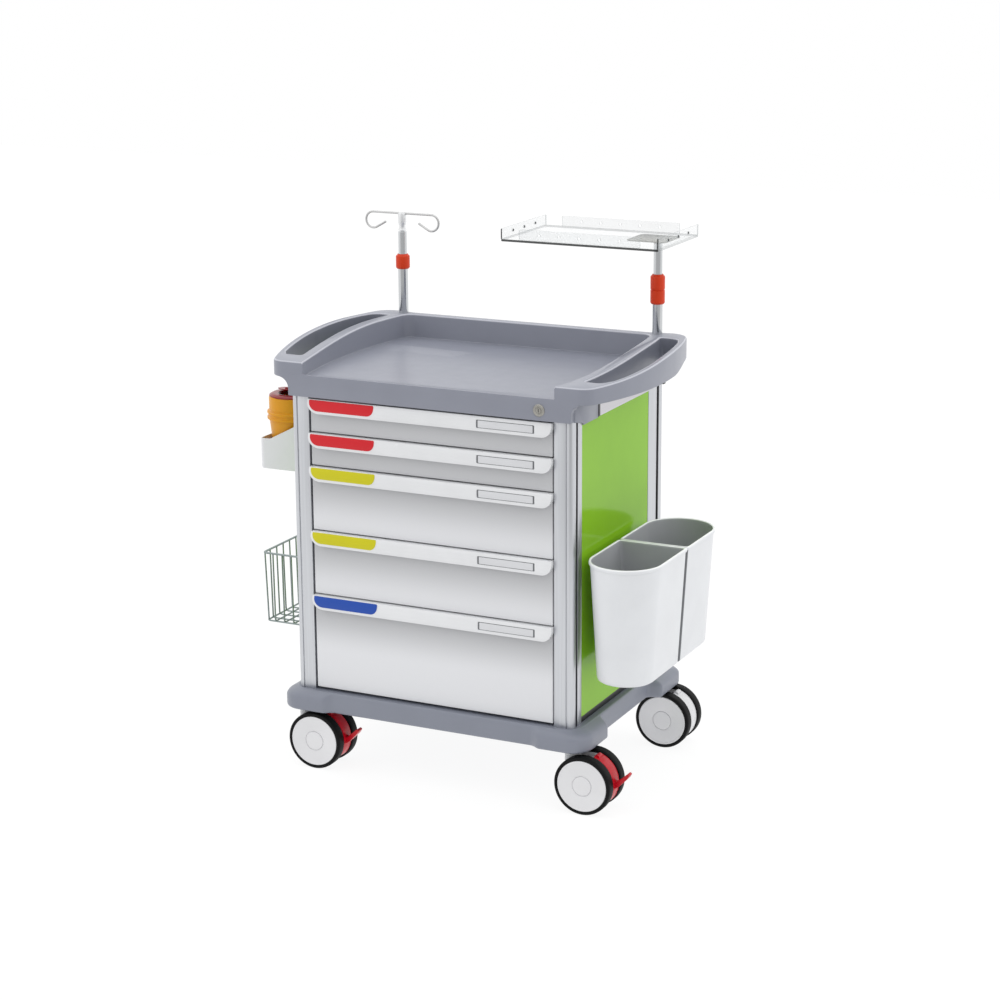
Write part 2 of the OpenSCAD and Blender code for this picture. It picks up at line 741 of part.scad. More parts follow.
module bin_bracket() {
    rail_high = hook_top - 4 - gap;
    color(silver) difference() {
        union() {
            span([cab_x + 5, bin_y - 90, rail_high - 30], [cab_x + 9, bin_y + 90, rail_high]);
            for (y = [-75, 0, 75]) span([cab_x - eps, bin_y + y - 15, rail_high - 60],
                [cab_x + 5 + eps, bin_y + y + 15, rail_high - 26]);
        }
        screw_holes();
    }
}

// ---------------------------------------------------------------- sharps holder and basket
side_y = -100;          // front of both left-hand accessories
bottle_r = 50;
bottle_z = holder_z + wall + gap;
bottle = [-cab_x - holder.x - 3 + 56, side_y + holder.y / 2];
module sharps_holder() {
    x0 = -cab_x - 3 - holder.x;
    back = 148;
    color(white) translate([0, side_y, holder_z]) {
        difference() {
            along_y(0, holder.y) polygon([[x0 + 8, 0], [-cab_x, 0], [-cab_x, 139],
                [x0 + 28, holder.z + 1], [x0, holder.z], [x0, 8]]);
            along_y(wall, holder.y - wall) polygon([[x0 + 8, wall],
                [-cab_x - 5, wall], [-cab_x - 5, back], [x0 + wall, back], [x0 + wall, 8]]);
        }
        difference() {
            span([-cab_x - 3, -14, 20], [-cab_x, holder.y + 14, back]);
            translate([0, -side_y, -holder_z]) screw_holes();
        }
    }
}
module bottle_profile() {
    polygon([[0, 0], [43, 0], [46, 3], [bottle_r, 69], [54, 101], [58.5, 103], [58.5, 108],
        [56, 110], [56, 113], [58.5, 115], [58.5, 120], [54, 122], [54, 151], [52, 153],
        [51, 153], [51, 101], [47, 69], [43.5, 3.5], [0, 3.5]]);
}
module sharps_container() {
    color([0.93, 0.68, 0.15]) translate([bottle.x, bottle.y, bottle_z]) rotate_extrude()
        bottle_profile();
}
lid_z = bottle_z + 149;
flap_open = 8;         // degrees that the flap stands open
flap_hinge = [40, 13]; // behind the bottle's axis, and above the underside of the lid
module sharps_lid() {
    // Ring-shaped lid pressed into the mouth, with the two ears of the flap's hinge
    color([0.55, 0.10, 0.13]) translate([bottle.x, bottle.y, lid_z]) {
        rotate_extrude() polygon([[30, 0], [50.98, 0], [50.98, 4], [47, 10], [34, 10], [30, 6]]);
        for (s = [-1, 1]) difference() {
            union() {
                span([s * 11 - 1.5, flap_hinge.x - 4, 8],
                     [s * 11 + 1.5, flap_hinge.x + 4, flap_hinge.y]);
                translate([s * 11 - 1.5, flap_hinge.x, flap_hinge.y]) rotate([0, 90, 0])
                    cylinder(r = 4, h = 3);
            }
            translate([s * 11 - 3, flap_hinge.x, flap_hinge.y]) rotate([0, 90, 0])
                cylinder(r = 1.5 + fit, h = 6);
        }
    }
}
module sharps_flap() {
    // Round flap with a knuckle and pin between the ears
    color([0.62, 0.12, 0.15]) translate([bottle.x, bottle.y + flap_hinge.x, lid_z + flap_hinge.y])
        rotate([-flap_open, 0, 0]) {
            translate([0, -flap_hinge.x, -2.4]) cylinder(r = 34, h = 2.5);
            translate([0, -flap_hinge.x - 27, 0]) cylinder(r = 5, h = 4);
            span([-9, -8, -2.4], [9, 0, 2]);
            translate([-9, 0, 0]) rotate([0, 90, 0]) cylinder(r = 3, h = 18);
            translate([-13, 0, 0]) rotate([0, 90, 0]) cylinder(r = 1.5, h = 26);
        }
}
module wire_basket() {
    x0 = -cab_x - 3 - basket.x;
    x1 = -cab_x - 1;
    y0 = side_y;
    y1 = side_y + basket.y;
    t = 3.4;
    pitch_x = (x1 - x0 - t) / 6;
    pitch_y = (basket.y - t) / 7;
    top = basket_z + basket.z;
    color(silver) {
        for (z = [basket_z, top - t]) {
            for (y = [y0, y1 - t]) span([x0, y, z], [x1, y + t, z + t]);
            for (x = [x0, x1 - t]) span([x, y0, z], [x + t, y1, z + t]);
        }
        for (i = [0:6], y = [y0, y1 - t])
            span([x0 + i * pitch_x, y, basket_z], [x0 + i * pitch_x + t, y + t, top]);
        for (j = [1:6], x = [x0, x1 - t])
            span([x, y0 + j * pitch_y, basket_z], [x + t, y0 + j * pitch_y + t, top]);
        for (j = [1:6])
            span([x0, y0 + j * pitch_y, basket_z], [x1, y0 + j * pitch_y + t, basket_z + t]);
        // Strap that screws to the panel
        span([x1 - eps, y0 + 10, top - 26], [x1 + 1, y1 - 10, top]);
    }
}

// ---------------------------------------------------------------- screws
module button_head() {
    cylinder(r = 4.5, h = 2.4);
    translate([0, 0, -8]) cylinder(r = screw_r, h = 8.1);
}
module screws() {
    color(silver) at_screws() button_head();
}

base();
chassis_frame();
post_front(-1);  // post_front_left
post_front(1);  // post_front_right
post_rear(-1);  // post_rear_left
post_rear(1);  // post_rear_right
side_panels();
back_panel();
drawer_rails();
worktop();
side_trims();
lock_barrel();
lock_plug();
lock_bar();
for (n = [0:4]) {
    drawer_box(n);
    drawer_front(n);
    colour_tab(n);
}
for (n = [0:3]) {
    caster_housing(n);
    wheel(n);
    tyre(n);
}
for (n = [0:1]) {
    brake_pedal(n);
}
drip_pole_tube();
drip_pole_collar();
drip_pole_upper();
drip_hooks();
shelf_pole_tube();
shelf_pole_collar();
shelf_pole_upper();
clear_shelf();
bin_bracket();
bin(1);  // bin_front
bin(-1);  // bin_rear
sharps_holder();
sharps_container();
sharps_lid();
sharps_flap();
wire_basket();
screws();
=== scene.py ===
"""Looks of the hospital emergency trolley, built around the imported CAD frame.

Shapes are worked out in millimetres and scaled to metres when a mesh is made.
The front faces -Y, +X is to the right seen from the front, and the floor is at z = 0.
"""

import json
import math

import bmesh
import bpy
from mathutils import Matrix, Vector


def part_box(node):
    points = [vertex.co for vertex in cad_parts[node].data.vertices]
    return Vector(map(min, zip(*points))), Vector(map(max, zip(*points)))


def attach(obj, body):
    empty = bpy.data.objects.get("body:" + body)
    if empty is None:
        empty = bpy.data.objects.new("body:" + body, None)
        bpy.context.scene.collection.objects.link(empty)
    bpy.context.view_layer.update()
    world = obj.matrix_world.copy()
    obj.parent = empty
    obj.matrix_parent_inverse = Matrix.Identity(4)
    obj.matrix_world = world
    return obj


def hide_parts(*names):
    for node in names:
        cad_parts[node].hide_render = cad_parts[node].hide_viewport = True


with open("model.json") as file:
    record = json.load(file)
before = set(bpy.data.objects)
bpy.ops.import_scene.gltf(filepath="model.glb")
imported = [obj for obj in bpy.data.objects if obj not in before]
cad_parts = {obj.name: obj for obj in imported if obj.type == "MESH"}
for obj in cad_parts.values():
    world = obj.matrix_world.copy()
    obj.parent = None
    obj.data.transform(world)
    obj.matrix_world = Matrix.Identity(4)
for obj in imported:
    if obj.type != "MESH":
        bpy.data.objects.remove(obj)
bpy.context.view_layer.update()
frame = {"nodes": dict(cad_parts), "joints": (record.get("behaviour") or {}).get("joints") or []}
MM = 0.001
SIDES = (("left", -1), ("right", 1))

# ---- numbers from the frame


def node_box(node):
    """Lowest and highest corner of a CAD node, in millimetres."""
    low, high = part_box(node)
    return low / MM, high / MM


def joint(name):
    """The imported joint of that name."""
    return next(j for j in frame["joints"] if j["name"] == name)


def joint_point(name):
    """Where a hinge turns, in millimetres."""
    return Vector(joint(name)["pos_m"]) / MM


# ---- outlines


def arc(cx, cy, radius, start, end, steps):
    """Points of an arc between two angles in degrees."""
    angles = [math.radians(start + (end - start) * i / steps) for i in range(steps + 1)]
    return [(cx + radius * math.cos(a), cy + radius * math.sin(a)) for a in angles]


def rounded(points, radii, steps=6):
    """A closed polygon with each corner rounded. radii is one number, or one for each corner."""
    if not hasattr(radii, "__len__"):
        radii = [radii] * len(points)
    out = []
    for i, radius in enumerate(radii):
        here = Vector(points[i])
        back = (Vector(points[i - 1]) - here).normalized()
        ahead = (Vector(points[(i + 1) % len(points)]) - here).normalized()
        half = back.angle(ahead) / 2
        if radius <= 0 or abs(half - math.pi / 2) < 1e-4:
            out.append(tuple(here))
            continue
        centre = here + (back + ahead).normalized() * radius / math.sin(half)
        first = here + back * radius / math.tan(half) - centre
        last = here + ahead * radius / math.tan(half) - centre
        turn = first.angle_signed(last)
        for k in range(steps + 1):
            spin = Matrix.Rotation(-turn * k / steps, 2)
            out.append(tuple(centre + spin @ first))
    return out


def rectangle(x0, y0, x1, y1, radii, steps=6):
    """A rectangle with rounded corners, from its low corner to its high one."""
    return rounded([(x0, y0), (x1, y0), (x1, y1), (x0, y1)], radii, steps)


def mirrored(points):
    """The points on the other side of x = 0, in the opposite order."""
    return [(-x, y) for x, y in reversed(points)]


def smoothstep(low, high, x):
    t = max(0.0, min(1.0, (x - low) / (high - low)))
    return t * t * (3 - 2 * t)


# ---- solids as (vertices, faces)


def prism(outline, low, high):
    """An outline in X and Y, pulled up from low to high."""
    n = len(outline)
    verts = [(x, y, low) for x, y in outline] + [(x, y, high) for x, y in outline]
    faces = [list(range(n))[::-1], [i + n for i in range(n)]]
    faces += [[i, (i + 1) % n, (i + 1) % n + n, i + n] for i in range(n)]
    return verts, faces


def along_x(outline, x0, x1):
    """An outline in Y and Z, pulled along X."""
    verts, faces = prism(outline, x0, x1)
    return [(z, x, y) for x, y, z in verts], faces


def along_y(outline, y0, y1):
    """An outline in X and Z, pulled along Y."""
    verts, faces = prism(outline, y0, y1)
    return [(x, z, y) for x, y, z in verts], [f[::-1] for f in faces]


def box(low, high):
    """A box from its low corner to its high corner."""
    (x0, y0, z0), (x1, y1, z1) = low, high
    return prism([(x0, y0), (x1, y0), (x1, y1), (x0, y1)], z0, z1)


def loft(rings, cap_first=True, cap_last=True):
    """A skin over closed rings that all have the same number of points."""
    n = len(rings[0])
    verts = [p for ring in rings for p in ring]
    faces = []
    for k in range(len(rings) - 1):
        for i in range(n):
            j = (i + 1) % n
            faces.append([k * n + i, k * n + j, (k + 1) * n + j, (k + 1) * n + i])
    if cap_first:
        faces.append(list(range(n))[::-1])
    if cap_last:
        faces.append([(len(rings) - 1) * n + i for i in range(n)])
    return verts, faces


def lathe(profile, segments=72):
    """A profile of (radius, height) turned round Z. A closed profile repeats its first point."""
    verts, faces, rows = [], [], []
    for r, z in profile:
        if r < 1e-6:
            rows.append([len(verts)] * segments)
            verts.append((0, 0, z))
            continue
        rows.append(list(range(len(verts), len(verts) + segments)))
        for i in range(segments):
            a = 2 * math.pi * i / segments
            verts.append((r * math.cos(a), r * math.sin(a), z))
    for low, high in zip(rows, rows[1:]):
        for i in range(segments):
            j = (i + 1) % segments
            ring = [low[i], low[j], high[j], high[i]]
            faces.append(list(dict.fromkeys(ring)))
    return verts, [f for f in faces if len(f) > 2]


def tube(points, radius, sides=12, closed=False):
    """A round wire swept along points, with round-edged ends."""
    pts = [Vector(p) for p in points]
    n = len(pts)
    tangents = []
    for i in range(n):
        before = pts[i - 1] if closed or i else pts[i]
        after = pts[(i + 1) % n] if closed or i < n - 1 else pts[i]
        tangents.append((after - before).normalized())
    side = tangents[0].orthogonal().normalized()
    rings = []

    def ring(centre, tangent, r):
        up = tangent.cross(side).normalized()
        angles = [2 * math.pi * k / sides for k in range(sides)]
        return [tuple(centre + (side * math.cos(a) + up * math.sin(a)) * r) for a in angles]

    for i in range(n):
        side = (side - tangents[i] * side.dot(tangents[i])).normalized()
        if i == 0 and not closed:
            rings.append(ring(pts[0] - tangents[0] * 0.3 * radius, tangents[0], radius * 0.6))
        rings.append(ring(pts[i], tangents[i], radius))
        if i == n - 1 and not closed:
            rings.append(ring(pts[i] + tangents[i] * 0.3 * radius, tangents[i], radius * 0.6))
    if closed:
        verts, faces = loft(rings + [rings[0]], False, False)
        count = len(rings) * sides
        return verts[:count], [[i % count for i in f] for f in faces]
    return loft(rings)


def moved(part, matrix):
    """The part carried by a 4 by 4 matrix."""
    verts, faces = part
    return [tuple(matrix @ Vector(v)) for v in verts], faces


def shifted(part, x=0, y=0, z=0):
    return moved(part, Matrix.Translation((x, y, z)))


def joined(parts):
    """Several parts as one."""
    verts, faces = [], []
    for v, f in parts:
        start = len(verts)
        verts += v
        faces += [[i + start for i in face] for face in f]
    return verts, faces


TO_Y = Matrix.Rotation(math.radians(90), 4, "X")     # turns +Z to -Y
TO_X = Matrix.Rotation(math.radians(90), 4, "Y")     # turns +Z to +X

# ---- pieces


def solid(name, part):
    """A mesh object from a part in millimetres, with its faces turned outwards."""
    verts, faces = part
    mesh = bpy.data.meshes.new(name)
    mesh.from_pydata([Vector(v) * MM for v in verts], [], faces)
    obj = bpy.data.objects.new(name, mesh)
    bpy.context.scene.collection.objects.link(obj)
    tidy_mesh(obj)
    return obj


def tidy_mesh(obj, gap=0.002):
    """Merges points closer than gap and turns all faces outwards."""
    bm = bmesh.new()
    bm.from_mesh(obj.data)
    bmesh.ops.remove_doubles(bm, verts=bm.verts, dist=gap * MM)
    bmesh.ops.recalc_face_normals(bm, faces=bm.faces)
    bm.to_mesh(obj.data)
    bm.free()


def apply_modifiers(obj):
    graph = bpy.context.evaluated_depsgraph_get()
    mesh = bpy.data.meshes.new_from_object(obj.evaluated_get(graph))
    obj.modifiers.clear()
    old = obj.data
    obj.data = mesh
    bpy.data.meshes.remove(old)
    mesh.name = obj.name


def combine(obj, part, how):
    """Joins (UNION), cuts (DIFFERENCE) or keeps the common space (INTERSECT).

    What it works with is a part, or an object that is used up.
    """
    tool = part if isinstance(part, bpy.types.Object) else solid("tool", part)
    modifier = obj.modifiers.new("combine", "BOOLEAN")
    modifier.object = tool
    modifier.operation = how
    modifier.solver = "EXACT"
    bpy.context.view_layer.update()
    apply_modifiers(obj)
    bpy.data.objects.remove(tool)
    return obj


def soften(obj, width, segments=3, angle=32):
    """Rounds every edge sharper than the angle."""
    modifier = obj.modifiers.new("soften", "BEVEL")
    modifier.width = width * MM
    modifier.segments = segments
    modifier.limit_method = "ANGLE"
    modifier.angle_limit = math.radians(angle)
    modifier.use_clamp_overlap = True
    modifier.miter_outer = "MITER_ARC"
    modifier.harden_normals = False
    bpy.context.view_layer.update()
    apply_modifiers(obj)
    return obj


def round_rim(obj, wide, narrow, level, angle=34):
    """Rounds every sharp edge, and those above the level more."""
    bm = bmesh.new()
    bm.from_mesh(obj.data)
    weight = bm.edges.layers.float.new("bevel_weight_edge")
    for edge in bm.edges:
        if edge.is_manifold and edge.calc_face_angle() > math.radians(angle):
            high = min(v.co.z for v in edge.verts) > level * MM
            edge[weight] = 1 if high else narrow / wide
    bm.to_mesh(obj.data)
    bm.free()
    modifier = obj.modifiers.new("rim", "BEVEL")
    modifier.width = wide * MM
    modifier.segments = 4
    modifier.limit_method = "WEIGHT"
    modifier.use_clamp_overlap = False
    bpy.context.view_layer.update()
    apply_modifiers(obj)


def recolour(obj, material, chosen):
    """Gives the faces that the test picks another material."""
    obj.data.materials.append(material)
    last = len(obj.data.materials) - 1
    for face in obj.data.polygons:
        if chosen(face.center / MM, face.normal):
            face.material_index = last


def piece(obj, body, material, stands_for=(), smooth=38):
    """Shades a finished mesh, puts it on its body and hides the CAD nodes that it stands for."""
    mesh = obj.data
    mesh.polygons.foreach_set("use_smooth", [True] * len(mesh.polygons))
    mesh.set_sharp_from_angle(angle=math.radians(smooth))
    mesh.materials.clear()
    mesh.materials.append(material)
    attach(obj, body)
    if stands_for:
        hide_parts(*stands_for)
    return obj


# ---- materials


def mapped(tree, value, ends, kind="LINEAR"):
    """A socket's value, carried from the range of the first two ends to that of the last two."""
    node = tree.nodes.new("ShaderNodeMapRange")
    node.interpolation_type = kind
    for name, end in zip(("From Min", "From Max", "To Min", "To Max"), ends):
        node.inputs[name].default_value = end
    tree.links.new(value, node.inputs["Value"])
    return node.outputs["Result"]


def reach(tree, vector, direction):
    """How far a vector reaches along a direction."""
    node = tree.nodes.new("ShaderNodeVectorMath")
    node.operation = "DOT_PRODUCT"
    node.inputs[1].default_value = direction
    tree.links.new(vector, node.inputs[0])
    return node.outputs["Value"]


class Shader:
    """Builds one node material on the Principled shader."""

    def __init__(self, name, colour, roughness, metallic=0.0, **values):
        self.material = bpy.data.materials.new(name)
        self.material.use_nodes = True
        self.tree = self.material.node_tree
        self.principled = self.tree.nodes["Principled BSDF"]
        self.set("Base Color", (*colour, 1))
        self.set("Roughness", roughness)
        self.set("Metallic", metallic)
        for key, value in values.items():
            self.set(key.replace("_", " "), value)
        self.colour, self.roughness = colour, roughness
        self.normal = None

    def set(self, socket, value):
        self.principled.inputs[socket].default_value = value

    def add(self, kind, **inputs):
        node = self.tree.nodes.new(kind)
        for key, value in inputs.items():
            node.inputs[key].default_value = value
        return node

    def link(self, out, into):
        self.tree.links.new(out, into)

    def place(self, stretch=(1, 1, 1)):
        """Object coordinates, stretched."""
        where = self.add("ShaderNodeTexCoord")
        mapping = self.add("ShaderNodeMapping", Scale=stretch)
        self.link(where.outputs["Object"], mapping.inputs["Vector"])
        return mapping.outputs["Vector"]

    def noise(self, scale, detail=3, stretch=(1, 1, 1)):
        node = self.add("ShaderNodeTexNoise", Scale=scale, Detail=detail)
        self.link(self.place(stretch), node.inputs["Vector"])
        return node.outputs["Fac"]

    def bump(self, height, depth_mm, strength=1.0):
        """Adds a bump of that depth over the ones before it."""
        node = self.add("ShaderNodeBump", Strength=strength, Distance=depth_mm * MM)
        self.link(height, node.inputs["Height"])
        if self.normal:
            self.link(self.normal, node.inputs["Normal"])
        self.normal = node.outputs["Normal"]
        self.link(self.normal, self.principled.inputs["Normal"])

    def vary_roughness(self, noise, spread):
        low, high = max(0.02, self.roughness - spread), self.roughness + spread
        self.link(mapped(self.tree, noise, (0, 1, low, high)), self.principled.inputs["Roughness"])

    def vary_colour(self, noise, darker=0.93, lighter=1.05):
        ramp = self.add("ShaderNodeValToRGB")
        ends = ramp.color_ramp.elements
        ends[0].position, ends[1].position = 0.3, 0.7
        ends[0].color = (*[c * darker for c in self.colour], 1)
        ends[1].color = (*[min(1, c * lighter) for c in self.colour], 1)
        self.link(noise, ramp.inputs["Fac"])
        self.link(ramp.outputs["Color"], self.principled.inputs["Base Color"])


def srgb(*rgb):
    """An sRGB colour from 0 to 255 as linear values."""
    return tuple(((c / 255 + 0.055) / 1.055) ** 2.4 if c > 10 else c / 3295 for c in rgb)


def moulded(name, colour, roughness=0.42, grain=0.03, size=1400, **values):
    """Injection-moulded plastic with a fine spark-eroded grain."""
    s = Shader(name, colour, roughness, **values)
    s.bump(s.noise(size, 2), grain, 0.5)
    s.bump(s.noise(9, 2), 0.15, 0.12)
    s.vary_roughness(s.noise(35, 4), 0.05)
    s.vary_colour(s.noise(14, 5), 0.97, 1.02)
    return s.material


def powder_coated(name, colour, roughness=0.45, **values):
    """Powder-coated sheet steel with a slight orange peel."""
    s = Shader(name, colour, roughness, **values)
    s.bump(s.noise(420, 2), 0.03, 0.35)
    s.vary_roughness(s.noise(60, 3), 0.04)
    s.vary_colour(s.noise(6, 3), 0.985, 1.01)
    return s.material


def drawn_metal(name, colour, roughness, along=(1, 1, 0.015), streaks=900, anisotropic=0.0):
    """Metal with fine lines along the way that it was drawn or brushed."""
    s = Shader(name, colour, roughness, 1.0, Anisotropic=anisotropic)
    lines = s.noise(streaks, 4, along)
    s.bump(lines, 0.008, 0.35)
    s.vary_roughness(lines, 0.06)
    s.vary_colour(s.noise(streaks / 3, 3, along), 0.94, 1.03)
    return s.material


def clear_sheet(name, colour, alpha, roughness=0.08):
    """Clear acrylic with faint handling marks, seen straight through."""
    s = Shader(name, colour, roughness, IOR=1.49, Alpha=alpha)
    s.bump(s.noise(30, 4), 0.01, 0.06)
    s.vary_roughness(s.noise(70, 5), 0.02)
    return s.material


def tinted(name, colour, roughness=0.38, **values):
    """A strongly coloured moulding with little sheen, so that its colour stays deep."""
    values.setdefault("Specular_IOR_Level", 0.3)
    return moulded(name, colour, roughness, 0.01, 1200, **values)


def drawer_coating(n, edge):
    """White powder coat that falls into shade under the grip strip, whose lower edge is given."""
    s = Shader(f"drawer_coating_{n}", srgb(222, 223, 226), 0.42)
    s.bump(s.noise(420, 2), 0.03, 0.35)
    s.vary_roughness(s.noise(60, 3), 0.04)
    split = s.add("ShaderNodeSeparateXYZ")
    s.link(s.place(), split.inputs["Vector"])
    fall = mapped(s.tree, split.outputs["Z"], ((edge - 95) * MM, (edge - 2) * MM, 0, 1))
    s.vary_colour(fall, 1, 0.66)
    ends = s.tree.nodes[-1].color_ramp
    ends.interpolation = "EASE"
    ends.elements[0].position, ends.elements[1].position = 0.0, 1.0
    return s.material


GREY = moulded("grey_plastic", srgb(137, 140, 152), 0.31, 0.02, 1500)
# Lighter grey for the rounded rim edges: a painted highlight.
RIM_PAINTED_HIGHLIGHT = moulded("grey_plastic_rim_painted_highlight", srgb(186, 188, 197), 0.3, 0.02, 1500)
# Darker grey for the walls of the finger openings: painted shade.
SLOT_PAINTED_SHADE = moulded("grey_plastic_slot_painted_shade", srgb(114, 117, 129), 0.4, 0.02, 1500)
BASE_GREY = moulded("base_plastic", srgb(128, 132, 144), 0.36, 0.02, 1500)
WHITE_PLASTIC = moulded("white_plastic", srgb(227, 228, 230), 0.25, 0.012, 1800, Coat_Weight=0.1)
HOLDER_WHITE = moulded("holder_plastic", srgb(220, 221, 224), 0.3, 0.02, 1500)
PANEL_WHITE = powder_coated("panel_coating", srgb(216, 217, 220), 0.45)
GREEN = moulded("green_sheet", srgb(138, 194, 36), 0.12, 0.002, 900, Specular_IOR_Level=0.16)
BIN_PLASTIC = moulded("bin_plastic", srgb(223, 225, 228), 0.33, 0.02, 1300)
# Whiter plastic for the bins' upward-facing rim: a painted highlight.
BIN_RIM_PAINTED_HIGHLIGHT = moulded("bin_rim_painted_highlight", srgb(242, 243, 245), 0.25, 0.01, 1500)
# Darker grey for the insides of the bins: painted shade.
BIN_INSIDE_PAINTED_SHADE = moulded("bin_inside_painted_shade", srgb(168, 170, 174), 0.4, 0.02, 1300)
# Darker grey where the two bins meet: painted shade of the gap between them.
BIN_GAP_PAINTED_SHADE = moulded("bin_gap_painted_shade", srgb(112, 114, 118), 0.6, 0.02, 1300)
ANODISED = drawn_metal("anodised_aluminium", srgb(204, 206, 210), 0.36)
TRIM = drawn_metal("trim_aluminium", srgb(206, 204, 208), 0.42, (0.015, 0.015, 1))
ZINC = drawn_metal("zinc_steel", srgb(186, 188, 190), 0.38, (1, 0.015, 1))
CHROME = drawn_metal("polished_tube", srgb(204, 206, 208), 0.12, (1, 1, 0.01), 500)
HOOK_STEEL = drawn_metal("hook_steel", srgb(200, 200, 200), 0.4, (1, 1, 1), 400)
STEM_STEEL = drawn_metal("stem_steel", srgb(232, 233, 234), 0.45, (1, 1, 0.02), 500)
WIRE_CHROME = drawn_metal("bright_wire", srgb(142, 152, 151), 0.32, (1, 1, 1), 300)
NICKEL = drawn_metal("lock_nickel", srgb(166, 164, 158), 0.28, (1, 1, 1), 900)
RED_TAB = tinted("red_tab_plastic", srgb(208, 32, 42))
YELLOW_TAB = tinted("yellow_tab_plastic", srgb(203, 197, 22))
BLUE_TAB = tinted("blue_tab_plastic", srgb(34, 76, 168))
PEDAL_RED = tinted("pedal_plastic", srgb(188, 8, 30), 0.3, Coat_Weight=0.1)
COLLAR = tinted("collar_plastic", srgb(214, 58, 14))
WHEEL_WHITE = moulded("wheel_plastic", srgb(220, 220, 222), 0.36, 0.015, 1300)
HOUSING_GREY = moulded("housing_plastic", srgb(202, 204, 207), 0.3, 0.015, 1300)
BLACK_PLASTIC = moulded("black_plastic", srgb(22, 23, 25), 0.4, 0.02, 1300)
CHASSIS_BLACK = powder_coated("chassis_coating", srgb(40, 41, 43), 0.5)
ACRYLIC = clear_sheet("clear_acrylic", srgb(206, 212, 214), 0.12)
ACRYLIC_EDGE = clear_sheet("acrylic_sawn_edge", srgb(150, 156, 158), 0.45, 0.2)
# Near-black for the clear plates' edges that face the front: painted shade.
ACRYLIC_FRONT_EDGE_PAINTED_SHADE = clear_sheet("acrylic_front_edge_painted_shade", srgb(30, 33, 34), 0.95, 0.2)
LABEL_PAPER = moulded("label_paper", srgb(214, 215, 218), 0.6, 0.02, 700)
LABEL_FRAME = moulded("label_frame", srgb(104, 106, 110), 0.5, 0.02, 900)
YELLOW_BOTTLE = tinted("bottle_plastic", srgb(220, 150, 20), 0.34, Subsurface_Weight=0.05)
LID_RED = tinted("lid_plastic", srgb(132, 14, 24), 0.26, Coat_Weight=0.15)


def rubber():
    """Soft black tyre rubber with a dusty bloom."""
    s = Shader("tyre_rubber", srgb(8, 9, 10), 0.55, Specular_IOR_Level=0.15)
    s.bump(s.noise(700, 3), 0.05, 0.4)
    s.vary_roughness(s.noise(45, 4), 0.12)
    s.vary_colour(s.noise(30, 4), 0.8, 1.35)
    return s.material


RUBBER = rubber()
TAB_MATERIALS = [RED_TAB, RED_TAB, YELLOW_TAB, YELLOW_TAB, BLUE_TAB]


def dress(node, material):
    """Gives a CAD node that stays its finished material."""
    obj = frame["nodes"][node]
    obj.data.materials.clear()
    obj.data.materials.append(material)


def black_trim(name, part, width, segments=2):
    """A small black piece of the cart with rounded edges."""
    piece(soften(solid(name, part), width, segments), "cart", BLACK_PLASTIC)


def span(side, near, far):
    """Lowest and highest X between two distances from the middle, on one side."""
    return sorted((side * near, side * far))


# ---- worktop

TOP_LOW, TOP_HIGH = node_box("worktop")
TOP_Y = -TOP_LOW.y
REAR_Y = TOP_HIGH.y       # back of the handles, a little behind the worktop
HANDLE_X = TOP_HIGH.x
CAB_TOP = TOP_LOW.z
RIM_HIGH = TOP_HIGH.z
HANDLE_LOW = 857          # underside of the handles
HANDLE_RISE = 10          # how much higher it is at the back
RIM_DROP = 21             # how much lower the rim is at the front
SKIRT_X = 326.5           # half width of the skirt under the handles
SKIRT_TOP = 866           # where its blocks end inside the moulding
SLOPED = 900              # all that is above it follows the slope of the rim
LIP_Z = 865               # top of the low lip at the open front of the tray
TRAY_Z = 860              # floor of the tray
FRONT_BOW = 600           # radius of the handles' bow, front half
REAR_BOW = 760            # and rear half
TRAY_BOW = 1150           # radius of the tray's side walls


def bow_corner(bow, r, edge, steps=10):
    """Round corner of radius r that ends a bow of the handles at the line y = edge."""
    y = edge - r
    x = HANDLE_X - bow + math.sqrt((bow - r) ** 2 - y ** 2)
    return arc(x, y, r, math.degrees(math.asin(y / (bow - r))), 90, steps)


def bow_points(widest, bow, y0, y1, steps):
    """Points along a bow that is widest at the middle of the trolley."""
    ys = [y0 + (y1 - y0) * i / steps for i in range(steps + 1)]
    return [(widest - bow + math.sqrt(bow ** 2 - y ** 2), y) for y in ys]


def handle_outline():
    """The bowed outline of the worktop, with round corners."""
    right = [(x, -y) for x, y in reversed(bow_corner(FRONT_BOW, 35, TOP_Y))]
    right += bow_points(HANDLE_X, FRONT_BOW, -212, 0, 24)
    right += bow_points(HANDLE_X, REAR_BOW, 9, 200, 22)
    right += bow_corner(REAR_BOW, 45, REAR_Y) + [(318, REAR_Y - 1.5), (300, REAR_Y - 5)]
    right += [(285, TOP_Y)]
    return right + mirrored(right)


def tray_outline(corner=25):
    """The tray's opening, open to the front, with bowed sides."""
    cx, cy = 316.5 - TRAY_BOW, 10
    y = TOP_Y - 20 - corner
    x = cx + math.sqrt((TRAY_BOW - corner) ** 2 - (y - cy) ** 2)
    a = math.degrees(math.asin((y - cy) / (TRAY_BOW - corner)))
    start = math.degrees(math.asin((-TOP_Y - 12 - cy) / TRAY_BOW))
    right = arc(cx, cy, TRAY_BOW, start, a, 40)[:-1] + arc(x, y, corner, a, 90, 8)
    return right + mirrored(right)


